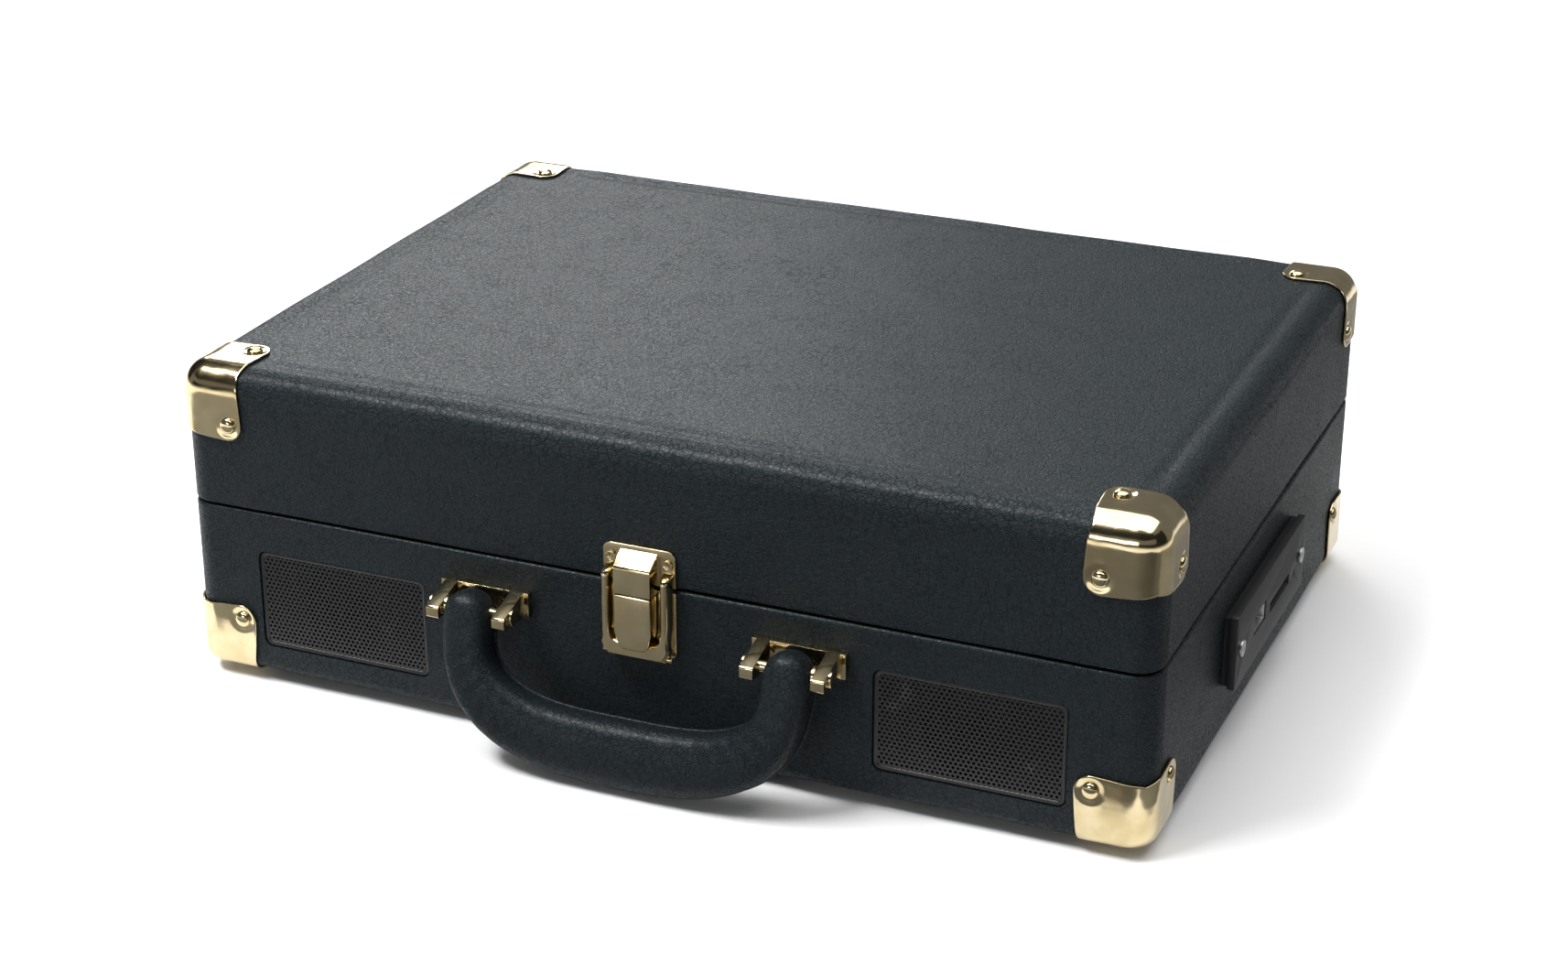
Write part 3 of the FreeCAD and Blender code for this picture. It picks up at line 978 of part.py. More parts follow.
def drive_belt(low):
    """A flat belt round the platter's drive ring and the motor pulley: two arcs and the tangents between them."""
    inner_ring, inner_pulley = (size(name) + size("belt_gap") for name in ("drive_ring", "pulley_radius"))
    distance, wall, height = size("pulley_distance"), size("belt_wall"), size("belt_height")

    def loop(ring, pulley):
        lean = math.acos((ring - pulley) / distance)
        across = Vector(math.cos(lean), math.sin(lean), 0)
        flip = Vector(across.x, -across.y, 0)
        middle = Vector(distance, 0, 0)
        edges = [Part.Arc(across * ring, Vector(-ring, 0, 0), flip * ring).toShape(),
                 Part.LineSegment(flip * ring, middle + flip * pulley).toShape(),
                 Part.Arc(middle + flip * pulley, middle + Vector(pulley, 0, 0), middle + across * pulley).toShape(),
                 Part.LineSegment(middle + across * pulley, across * ring).toShape()]
        return Part.Face(Part.Wire(edges))

    ring = loop(inner_ring + wall, inner_pulley + wall).cut(loop(inner_ring, inner_pulley))
    belt = DOC.addObject("Part::Feature", "drive_belt")
    belt.Shape = ring.extrude(Vector(0, 0, height))
    belt.Placement = FreeCAD.Placement(Vector(), Rotation(Vector(0, 0, 1), size("pulley_angle")))
    for letter, text in zip("xyz", ("platter_x", "platter_y + case_shift", low)):
        belt.setExpression(f"Placement.Base.{letter}", bound(text))
    keep(belt)


# ---------------------------------------------------------------- tonearm

def tonearm():
    """Arm base with the cue lever's ear, turning yoke, arm, cartridge, cue lever and arm rest."""
    x_mid, y_mid = "arm_x", "(arm_y + case_shift)"
    axis = f"({DECK_TOP} + arm_axis_height)"
    disc = rod("arm_base_disc", "arm_base_radius", "arm_base_height", (x_mid, y_mid, DECK_TOP))
    post = rod("arm_base_post", "arm_post_radius", "arm_post_height", (x_mid, y_mid, DECK_TOP))
    cue_z = f"{DECK_TOP} + cue_height"
    ear = box("cue_ear", [("arm_x + cue_offset - 5", "arm_x + cue_offset"),
                          (f"{y_mid} - cue_hub", f"{y_mid} + cue_hub"), (DECK_TOP, f"{cue_z} + cue_hub")])
    cue_bore = rod("cue_bore", "cue_pin + pin_clearance", "4.5", ("arm_x + cue_offset - 4", y_mid, cue_z), "+X")
    keep(cut("tonearm_base", fuse("arm_base_blank", disc, post, ear), cue_bore))

    hub = rod("cue_disc", "cue_hub", "cue_wall", ("arm_x + cue_offset + part_clearance", y_mid, cue_z), "+X")
    stub = rod("cue_stub", "cue_pin", "3.5 + part_clearance", ("arm_x + cue_offset - 3", y_mid, cue_z), "+X")
    bar = box("cue_arm", [("arm_x + cue_offset + part_clearance", "arm_x + cue_offset + part_clearance + cue_wall"),
                          (f"{y_mid} - cue_length", y_mid), (f"{cue_z} - cue_bar / 2", f"{cue_z} + cue_bar / 2")])
    keep(fuse("cue_lever", hub, stub, bar))

    turn_low = f"({DECK_TOP} + arm_post_height + part_clearance)"
    floor = rod("yoke_disc", "yoke_half_width", "yoke_floor", (x_mid, y_mid, turn_low))
    cheeks = []
    for side, (low, high) in (("left", ("-yoke_half_width", "-yoke_half_width + yoke_cheek")),
                              ("right", ("yoke_half_width - yoke_cheek", "yoke_half_width"))):
        cheeks.append(box(f"yoke_cheek_{side}", [(f"arm_x + ({low})", f"arm_x + ({high})"),
                                                 (f"{y_mid} - yoke_half_depth / 2", f"{y_mid} + yoke_half_depth / 2"),
                                                 (turn_low, f"{axis} + yoke_rise")]))
    trunnion_bore = rod("trunnion_bore", "trunnion_radius + pin_clearance", "2 * yoke_half_width + 2",
                        ("arm_x - yoke_half_width - 1", y_mid, axis), "+X")
    keep(cut("tonearm_yoke", fuse("yoke_blank", floor, *cheeks), trunnion_bore))

    block = box("arm_block", [("arm_x - arm_block_half_width", "arm_x + arm_block_half_width"),
                              (f"{y_mid} - arm_block_half_depth", f"{y_mid} + arm_block_half_depth"),
                              (f"{axis} - arm_block_half_height", f"{axis} + arm_block_half_height")])
    trunnion = rod("trunnion", "trunnion_radius", "2 * yoke_half_width", ("arm_x - yoke_half_width", y_mid, axis),
                   "+X")
    tube = rod("arm_tube", "arm_tube_radius", "arm_length + 6 - head_length + arm_rear",
               (x_mid, f"{y_mid} + arm_rear", axis), "-Y")
    weight = rod("arm_weight", "weight_radius", "weight_length", (x_mid, f"{y_mid} + arm_rear", axis), "-Y")
    head_end = f"{y_mid} - arm_length - 4"
    head = slab("arm_head", "XY_Plane", [
        ("arm_x - head_half_width", head_end), ("arm_x + head_half_width", head_end),
        ("arm_x + head_half_width", f"{head_end} + head_length - 10"),
        ("arm_x + arm_tube_radius", f"{head_end} + head_length"),
        ("arm_x - arm_tube_radius", f"{head_end} + head_length"),
        ("arm_x - head_half_width", f"{head_end} + head_length - 10")],
        f"{axis} - head_half_height", f"{axis} + head_half_height", [("2", (0, 1, 2, 5))])
    keep(fuse("tonearm", block, trunnion, tube, weight, head))

    under = f"{axis} - head_half_height"
    shell = box("cartridge_body", [("arm_x - cartridge_half_width", "arm_x + cartridge_half_width"),
                                   (f"{head_end} + 2", f"{head_end} + 2 + cartridge_length"),
                                   (f"{under} - cartridge_height", under)])
    stylus = DOC.addObject("Part::Cone", "stylus")
    stylus.setExpression("Radius1", bound("stylus_radius / 4"))
    stylus.setExpression("Radius2", bound("stylus_radius"))
    stylus.setExpression("Height", bound("stylus_length + 0.1"))
    place(stylus, (x_mid, f"{y_mid} - arm_length", f"{under} - cartridge_height - stylus_length"))
    keep(fuse("cartridge", shell, stylus))

    rest_y = f"({y_mid} - rest_distance)"
    saddle_top = f"{axis} - arm_tube_radius - 0.4"
    depth = (f"{rest_y} - rest_half_depth", f"{rest_y} + rest_half_depth")
    saddle = box("rest_saddle", [("arm_x - rest_left", "arm_x + rest_right"), depth, (DECK_TOP, saddle_top)])
    lip = box("rest_lip_block", [("arm_x + rest_right - rest_lip", "arm_x + rest_right"), depth,
                                 (f"{saddle_top} - 1", f"{saddle_top} + rest_lip_rise")])
    keep(fuse("arm_rest", saddle, lip))


# ---------------------------------------------------------------- controls on the deck

def knob(name, y_place):
    """A round knob with a pointer groove and a shaft through the deck."""
    body = turned(f"{name}_body", [
        ("0", "-deck_wall"), ("knob_shaft", "-deck_wall"), ("knob_shaft", "part_clearance"),
        ("knob_radius", "part_clearance"), ("knob_radius * 0.9", "knob_height"), ("0", "knob_height")],
        ("control_x", f"{y_place} + case_shift", DECK_TOP), rounds=[("knob_round", "knob_radius * 0.9", "knob_height")])
    groove = box(f"{name}_pointer", [("control_x - pointer_width / 2", "control_x + pointer_width / 2"),
                                     (f"{y_place} + case_shift + knob_radius * 0.25",
                                      f"{y_place} + case_shift + knob_radius"),
                                     (f"{DECK_TOP} + knob_height - pointer_depth", f"{DECK_TOP} + knob_height + 1")])
    keep(cut(name, body, groove))


def controls():
    """Volume and source knobs, speed selector, auto-stop switch and the lift-out record adapter."""
    knob("volume_knob", "volume_y")
    knob("source_knob", "source_y")
    disc = turned("speed_disc", [("0", "-deck_wall"), ("knob_shaft", "-deck_wall"), ("knob_shaft", "part_clearance"),
                                 ("speed_radius", "part_clearance"), ("speed_radius", "speed_height"),
                                 ("0", "speed_height")],
                  ("control_x", "speed_y + case_shift", DECK_TOP))
    bar = box("speed_bar_block", [("control_x - speed_bar", "control_x + speed_radius * 0.6"),
                                  ("speed_y + case_shift - speed_bar_width / 2",
                                   "speed_y + case_shift + speed_bar_width / 2"),
                                  (f"{DECK_TOP} + speed_height - 1", f"{DECK_TOP} + speed_bar_height")])
    keep(fuse("speed_lever", disc, bar))
    keep(box("auto_stop_switch", [("control_x - stop_width / 2", "control_x + stop_width / 2"),
                                  ("stop_y + case_shift - stop_length / 2", "stop_y + case_shift + stop_length / 2"),
                                  (f"{DECK_LOW} + 0.5", f"{DECK_TOP} + stop_rise")]))
    keep(turned("record_adapter", [
        ("adapter_bore", "0"), ("adapter_radius", "0"), ("adapter_radius", "adapter_height"),
        ("adapter_radius - adapter_rim", "adapter_height"),
        ("adapter_radius - adapter_rim", "adapter_height - adapter_dish"),
        ("adapter_bore + adapter_rim", "adapter_height - adapter_dish"),
        ("adapter_bore + adapter_rim", "adapter_height"), ("adapter_bore", "adapter_height")],
        ("adapter_x", "adapter_y + case_shift", f"{DECK_TOP} - adapter_recess + 0.1")))


# ---------------------------------------------------------------- assembly

def check_and_write():
    """Stop if any object failed, then write each sub-part to its own file."""
    DOC.recompute()
    failed = [item.Name for item in DOC.Objects if {"Invalid", "Error"} & set(item.State)]
    for piece in PARTS:
        if piece.Shape.isNull() or not piece.Shape.isValid() or not piece.Shape.Solids:
            failed.append(piece.Label)
    if failed:
        raise SystemExit(f"failed: {sorted(set(failed))}")
    os.makedirs("parts", exist_ok=True)
    for piece in PARTS:
        piece.Shape.exportStep(os.path.join("parts", f"{piece.Label}.step"))
    print(f"{len(PARTS)} parts, {sum(len(piece.Shape.Solids) for piece in PARTS)} solids")


for build in (case_shells, feet, fasteners, hinges, latch, handle, speakers, socket_panel, rear_sockets, deck,
              drive, tonearm, controls):
    build()
check_and_write()
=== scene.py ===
"""Looks of a closed suitcase record player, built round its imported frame."""

import json
import logging
import math
from dataclasses import dataclass
from enum import Enum
from typing import Iterable, Sequence

import bmesh
import bpy
import numpy as np
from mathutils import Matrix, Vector

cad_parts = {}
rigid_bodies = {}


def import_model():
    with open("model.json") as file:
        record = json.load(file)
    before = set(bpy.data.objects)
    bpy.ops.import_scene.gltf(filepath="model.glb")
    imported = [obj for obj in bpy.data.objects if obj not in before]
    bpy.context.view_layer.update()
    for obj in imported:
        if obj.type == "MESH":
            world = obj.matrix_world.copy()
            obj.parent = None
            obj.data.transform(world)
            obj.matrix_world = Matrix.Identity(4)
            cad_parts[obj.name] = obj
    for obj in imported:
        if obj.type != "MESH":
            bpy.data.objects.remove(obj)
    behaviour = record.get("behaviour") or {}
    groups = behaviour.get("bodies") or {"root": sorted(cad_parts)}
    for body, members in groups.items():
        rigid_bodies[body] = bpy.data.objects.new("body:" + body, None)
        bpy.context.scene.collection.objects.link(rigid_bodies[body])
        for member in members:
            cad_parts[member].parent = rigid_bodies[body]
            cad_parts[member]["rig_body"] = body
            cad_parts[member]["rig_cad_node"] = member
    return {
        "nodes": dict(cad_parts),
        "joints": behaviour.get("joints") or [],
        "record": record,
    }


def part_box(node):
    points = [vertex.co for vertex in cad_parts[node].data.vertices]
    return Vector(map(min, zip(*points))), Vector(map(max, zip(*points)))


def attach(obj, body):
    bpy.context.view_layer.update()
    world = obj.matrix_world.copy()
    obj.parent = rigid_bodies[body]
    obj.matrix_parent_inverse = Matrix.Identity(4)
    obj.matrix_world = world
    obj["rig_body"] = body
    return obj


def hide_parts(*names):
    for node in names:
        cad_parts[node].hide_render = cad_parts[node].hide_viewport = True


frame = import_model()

LOG = logging.getLogger("record_player")
MM = 0.001

Colour = tuple[float, float, float, float]
Point = tuple[float, float, float]


# ---------------------------------------------------------------- shader trees


class Signal:
    """A socket in a finish's tree. Arithmetic on it adds Math nodes."""

    def __init__(self, tree: "Finish", socket: bpy.types.NodeSocket) -> None:
        """Keeps the tree and the socket."""
        self.tree = tree
        self.socket = socket

    def calc(self, operation: str, *values: "Signal | float") -> "Signal":
        """Adds one Math node.

        Args:
            operation: The Math node's operation.
            values: The node's inputs in order.

        Returns:
            The node's result.
        """
        return self.tree.node("ShaderNodeMath", {"operation": operation}, dict(enumerate(values)))

    def __add__(self, other: "Signal | float") -> "Signal":
        """Sum."""
        return self.calc("ADD", self, other)

    def __radd__(self, other: float) -> "Signal":
        """Sum with a number first."""
        return self.calc("ADD", other, self)

    def __sub__(self, other: "Signal | float") -> "Signal":
        """Difference."""
        return self.calc("SUBTRACT", self, other)

    def __rsub__(self, other: float) -> "Signal":
        """Difference with a number first."""
        return self.calc("SUBTRACT", other, self)

    def __mul__(self, other: "Signal | float") -> "Signal":
        """Product."""
        return self.calc("MULTIPLY", self, other)

    def __rmul__(self, other: float) -> "Signal":
        """Product with a number first."""
        return self.calc("MULTIPLY", other, self)

    def __truediv__(self, other: "Signal | float") -> "Signal":
        """Quotient."""
        return self.calc("DIVIDE", self, other)

    def __rtruediv__(self, other: float) -> "Signal":
        """Quotient with a number first."""
        return self.calc("DIVIDE", other, self)

    def __pow__(self, power: float) -> "Signal":
        """Power."""
        return self.calc("POWER", self, power)

    def ramp(self, low: float, high: float) -> "Signal":
        """A smooth rise from 0 at low to 1 at high."""
        return self.tree.node("ShaderNodeMapRange", {"interpolation_type": "SMOOTHSTEP"},
                              {"Value": self, "From Min": low, "From Max": high})


class Finish:
    """A node material being put together for one of the player's surfaces."""

    def __init__(self, name: str) -> None:
        """Starts a material with its surface shader.

        Args:
            name: The material's name.
        """
        self.material = bpy.data.materials.new(name)
        self.material.use_nodes = True
        self.nodes = self.material.node_tree.nodes
        self.links = self.material.node_tree.links
        self.surface = self.nodes["Principled BSDF"]
        self.place = self.node("ShaderNodeTexCoord", {}, {}, "Object")

    def node(self, kind: str, settings: dict, inputs: dict, output: int | str = 0) -> Signal:
        """Adds a node.

        Args:
            kind: The node's type.
            settings: Attributes set before anything is joined.
            inputs: Values or signals for its sockets, by name or number.
            output: Which output is wanted.

        Returns:
            The wanted output.
        """
        made = self.nodes.new(kind)
        for key, value in settings.items():
            setattr(made, key, value)
        for key, value in inputs.items():
            self.feed(made.inputs[key], value)
        return Signal(self, made.outputs[output])

    def feed(self, socket: bpy.types.NodeSocket, value: "Signal | float | Sequence[float]") -> None:
        """Joins a signal to a socket, or sets the socket's own value."""
        if isinstance(value, Signal):
            self.links.new(value.socket, socket)
        else:
            socket.default_value = value

    def axis(self, name: str) -> Signal:
        """One coordinate of the place on the object, in metres."""
        return self.node("ShaderNodeSeparateXYZ", {}, {0: self.place}, name)

    def scaled(self, x: float, y: float, z: float) -> Signal:
        """The place, stretched along its axes."""
        return self.node("ShaderNodeVectorMath", {"operation": "MULTIPLY"}, {0: self.place, 1: (x, y, z)})

    def shifted(self, place: Signal, scale: float, reach: float) -> Signal:
        """The place, pushed about by a soft noise.

        Args:
            place: The place to push.
            scale: How fine the noise is.
            reach: How far it pushes.

        Returns:
            The pushed place.
        """
        push = self.node("ShaderNodeTexNoise", {}, {"Vector": place, "Scale": scale, "Detail": 1.0}, "Color")
        centred = self.node("ShaderNodeVectorMath", {"operation": "SUBTRACT"}, {0: push, 1: (0.5, 0.5, 0.5)})
        grown = self.node("ShaderNodeVectorMath", {"operation": "SCALE"}, {0: centred, "Scale": reach})
        return self.node("ShaderNodeVectorMath", {"operation": "ADD"}, {0: place, 1: grown})

    def noise(self, size: float, detail: float = 2.0, place: Signal | None = None) -> Signal:
        """Soft noise from 0 to 1 whose marks are about size metres across."""
        return self.node("ShaderNodeTexNoise", {"noise_dimensions": "3D"},
                         {"Vector": place or self.place, "Scale": 1 / size, "Detail": detail}, "Fac")

    def cracks(self, size: float, place: Signal | None = None) -> Signal:
        """Distance to the nearest edge between cells that are size metres across, in cells."""
        return self.node("ShaderNodeTexVoronoi", {"feature": "DISTANCE_TO_EDGE"},
                         {"Vector": place or self.place, "Scale": 1 / size, "Randomness": 1.0}, "Distance")

    def blend(self, share: Signal | float, first: "Signal | Colour", second: "Signal | Colour") -> Signal:
        """Mixes two colours.

        Args:
            share: How much of the second colour shows.
            first: A colour.
            second: Another colour.

        Returns:
            The mixed colour.
        """
        return self.node("ShaderNodeMix", {"data_type": "RGBA"}, {0: share, 6: first, 7: second}, 2)

    def attribute(self, name: str) -> Signal:
        """A number kept on the mesh's own points."""
        return self.node("ShaderNodeAttribute", {"attribute_name": name}, {}, "Fac")

    def relief(self, height: Signal, depth: float, under: Signal | None = None) -> Signal:
        """Turns a height into a surface direction.

        Args:
            height: The height, from 0 to 1.
            depth: The depth of a height of 1, in metres.
            under: A relief that this one lies on.

        Returns:
            The surface direction.
        """
        inputs = {"Height": height, "Distance": depth, "Strength": 1.0}
        if under is not None:
            inputs["Normal"] = under
        return self.node("ShaderNodeBump", {}, inputs)

    def wear(self, colour: "Signal | Colour", roughness: "Signal | float", normal: Signal | None = None,
             **fixed: float) -> bpy.types.Material:
        """Puts the finish on the surface shader.

        Args:
            colour: The base colour.
            roughness: The roughness.
            normal: The surface direction.
            fixed: The shader's constant sockets, with _ for each space.

        Returns:
            The finished material.
        """
        self.feed(self.surface.inputs["Base Color"], colour)
        self.feed(self.surface.inputs["Roughness"], roughness)
        if normal is not None:
            self.feed(self.surface.inputs["Normal"], normal)
        for key, value in fixed.items():
            self.surface.inputs[key.replace("_", " ")].default_value = value
        return self.material


# ---------------------------------------------------------------- finishes


@dataclass(frozen=True)
class LeatherCloth:
    """Pebbled leather cloth with creases where it is folded, lighter on its rubbed pebble tops and with
    painted shade darkening its cracks and crease lines.
    """

    name: str
    # The darker colour is painted shade, shown in the grain's cracks and crease lines; the lighter one is
    # the rubbed pebble tops.
    crack_shade: Colour = (0.0022, 0.0038, 0.0048, 1)
    worn: Colour = (0.0075, 0.0115, 0.0140, 1)
    pebble: float = 1.15 * MM
    crease: float = 2.4 * MM
    pebble_depth: float = 0.20 * MM
    crease_depth: float = 0.22 * MM
    roughness: float = 0.40
    coat: float = 0.26
    coat_roughness: float = 0.36

    def make(self) -> bpy.types.Material:
        """Makes the material."""
        f = Finish(self.name)
        grain = f.cracks(self.pebble, f.shifted(f.place, 900.0, 0.0007)).ramp(0.0, 0.26)
        web_place = f.shifted(f.scaled(0.80, 1.0, 1.15), 300.0, 0.0022)
        web = f.cracks(self.crease, web_place).ramp(0.0, 0.12)
        fine = f.noise(0.42 * MM, 3.0)
        patches = f.noise(14 * MM, 2.0).ramp(0.30, 0.70)
        fold = f.attribute("fold")
        # Crease lines show more in patches and where the fold mark is high. The colour blend below darkens
        # the cracks and crease lines as painted shade, and the pebble tops stay lighter as rub wear.
        shown = 0.16 + patches * 0.34 + fold * 0.25
        tops = (1 - (1 - web) * shown) * (0.50 + grain * 0.50)
        soft = f.relief(f.noise(6.5 * MM, 1.0), 0.22 * MM)
        creased = f.relief(web, self.crease_depth, soft)
        normal = f.relief(grain * 0.8 + fine * 0.4, self.pebble_depth, creased)
        # Lighter on the rubbed pebble tops, which is wear; darker in the cracks and crease lines, which is
        # painted shade.
        colour = f.blend(tops, self.crack_shade, self.worn)
        rough = self.roughness + (1 - tops) * 0.30 + fine * 0.06
        f.feed(f.surface.inputs["Coat Weight"], tops * self.coat)
        return f.wear(colour, rough, normal, Specular_IOR_Level=0.17, Coat_Roughness=self.coat_roughness,
                      Specular_Tint=(0.78, 0.93, 1.0, 1), Coat_Tint=(0.95, 0.985, 1.0, 1))


@dataclass(frozen=True)
class PaleGold:
    """Polished pale-gold plating on pressed steel."""

    name: str
    bright: Colour = (0.70, 0.60, 0.38, 1)
    warm: Colour = (0.56, 0.45, 0.25, 1)
    roughness: float = 0.10

    def make(self) -> bpy.types.Material:
        """Makes the material."""
        f = Finish(self.name)
        smudge = f.noise(9 * MM, 3.0)
        hair = f.noise(0.35 * MM, 2.0, f.scaled(0.12, 1.0, 0.35))
        press = f.noise(7 * MM, 1.0)
        normal = f.relief(hair, 0.0012 * MM, f.relief(press, 0.16 * MM))
        colour = f.blend(smudge.ramp(0.25, 0.75), self.bright, self.warm)
        rough = self.roughness + smudge.ramp(0.45, 0.8) * 0.09 + hair * 0.05
        return f.wear(colour, rough, normal, Metallic=1.0)


@dataclass(frozen=True)
class Metal:
    """Plain turned or brushed metal."""

    name: str
    colour: Colour
    dull: Colour
    roughness: float = 0.3

    def make(self) -> bpy.types.Material:
        """Makes the material."""
        f = Finish(self.name)
        lines = f.noise(0.3 * MM, 3.0, f.scaled(0.1, 1.0, 1.0))
        smudge = f.noise(6 * MM, 2.0)
        normal = f.relief(lines, 0.004 * MM)
        colour = f.blend(smudge.ramp(0.3, 0.8), self.colour, self.dull)
        return f.wear(colour, self.roughness + lines * 0.12, normal, Metallic=1.0)


@dataclass(frozen=True)
class Moulded:
    """Moulded plastic with a fine sparked texture."""

    name: str
    colour: Colour
    faded: Colour
    roughness: float = 0.42
    grain: float = 0.35 * MM
    depth: float = 0.012 * MM

    def make(self) -> bpy.types.Material:
        """Makes the material."""
        f = Finish(self.name)
        spark = f.noise(self.grain, 3.0)
        dust = f.noise(14 * MM, 4.0)
        flow = f.noise(30 * MM, 1.0)
        normal = f.relief(spark, self.depth, f.relief(flow, 0.1 * MM))
        colour = f.blend(dust.ramp(0.35, 0.9), self.colour, self.faded)
        return f.wear(colour, self.roughness + spark * 0.1 + dust * 0.05, normal)


@dataclass(frozen=True)
class Painted:
    """Black paint baked on metal, worn a little."""

    name: str
    colour: Colour = (0.008, 0.008, 0.009, 1)
    worn: Colour = (0.03, 0.03, 0.032, 1)

    def make(self) -> bpy.types.Material:
        """Makes the material."""
        f = Finish(self.name)
        peel = f.noise(0.5 * MM, 2.0)
        rub = f.noise(11 * MM, 4.0).ramp(0.62, 0.8)
        normal = f.relief(peel, 0.01 * MM)
        return f.wear(f.blend(rub, self.colour, self.worn), 0.34 + peel * 0.14, normal)


@dataclass(frozen=True)
class Fibre:
    """Felt, paper or lining cloth."""

    name: str
    colour: Colour
    light: Colour
    weave: float = 0.7 * MM
    depth: float = 0.12 * MM
    rings: Point | None = None

    def make(self) -> bpy.types.Material:
        """Makes the material."""
        f = Finish(self.name)
        tuft = f.noise(self.weave, 4.0)
        hair = f.noise(self.weave * 0.3, 2.0, f.scaled(1.0, 0.25, 1.0))
        cloud = f.noise(25 * MM, 3.0)
        height = tuft * 0.7 + hair * 0.3
        if self.rings:
            dx = f.axis("X") - self.rings[0]
            dy = f.axis("Y") - self.rings[1]
            far = (dx * dx + dy * dy) ** 0.5
            turns = far * (math.tau / self.rings[2])
            height = height + turns.calc("SINE", turns) * 0.5
        normal = f.relief(height, self.depth)
        colour = f.blend((tuft * 0.6 + cloud * 0.4).ramp(0.3, 0.7), self.colour, self.light)
        return f.wear(colour, 0.88 + hair * 0.08, normal, Sheen_Weight=0.25, Specular_IOR_Level=0.2)


@dataclass(frozen=True)
class Rubber:
    """Moulded black rubber."""

    name: str

    def make(self) -> bpy.types.Material:
        """Makes the material."""
        f = Finish(self.name)
        skin = f.noise(0.8 * MM, 4.0)
        bloom = f.noise(9 * MM, 3.0).ramp(0.4, 0.8)
        colour = f.blend(bloom, (0.012, 0.012, 0.012, 1), (0.03, 0.03, 0.029, 1))
        return f.wear(colour, 0.7 + skin * 0.15, f.relief(skin, 0.03 * MM))


@dataclass(frozen=True)
class Board:
    """Black-stained pressed board with a wood grain."""

    name: str

    def make(self) -> bpy.types.Material:
        """Makes the material."""
        f = Finish(self.name)
        grain = f.noise(1.2 * MM, 5.0, f.scaled(0.08, 1.0, 1.0))
        fleck = f.noise(2.5 * MM, 4.0)
        stain = (grain * 0.6 + fleck * 0.4).ramp(0.3, 0.7)
        colour = f.blend(stain, (0.012, 0.011, 0.010, 1), (0.03, 0.027, 0.024, 1))
        return f.wear(colour, 0.75 + fleck * 0.15, f.relief(grain, 0.08 * MM))


@dataclass(frozen=True)
class Circuit:
    """Green solder mask over copper runs."""

    name: str

    def make(self) -> bpy.types.Material:
        """Makes the material."""
        f = Finish(self.name)
        runs = f.cracks(5 * MM, f.scaled(1.0, 0.4, 1.0)).ramp(0.03, 0.07)
        mask = f.noise(2 * MM, 2.0)
        colour = f.blend(runs, (0.05, 0.22, 0.07, 1), (0.012, 0.09, 0.03, 1))
        return f.wear(colour, 0.3 + mask * 0.15, f.relief(1 - runs, 0.04 * MM))


@dataclass(frozen=True)
class Paper:
    """The studio's seamless pale floor."""

    name: str = "studio_floor"

    def make(self) -> bpy.types.Material:
        """Makes the material."""
        f = Finish(self.name)
        tooth = f.noise(3 * MM, 2.0)
        colour = f.blend(tooth, (0.86, 0.86, 0.865, 1), (0.88, 0.88, 0.885, 1))
        return f.wear(colour, 0.75 + tooth * 0.1, f.relief(tooth, 0.01 * MM), Specular_IOR_Level=0.25)


class Slot(Enum):
    """The record's material slots."""

    LEATHER = "leather_cloth"
    HANDLE = "handle_leather"
    GOLD = "gold_metal"
    BOARD = "case_board"
    LINING = "lining_cloth"
    RUBBER = "rubber"
    GRILLE = "black_grille"
    CONE = "speaker_cone"
    PLASTIC = "black_plastic"
    STEEL = "bright_steel"
    BRASS = "bearing_brass"
    DECK = "deck_plastic"
    PLATTER = "platter_plastic"
    FELT = "felt"
    ARM = "tonearm_plastic"
    CARTRIDGE = "cartridge_plastic"
    CIRCUIT = "board_green"


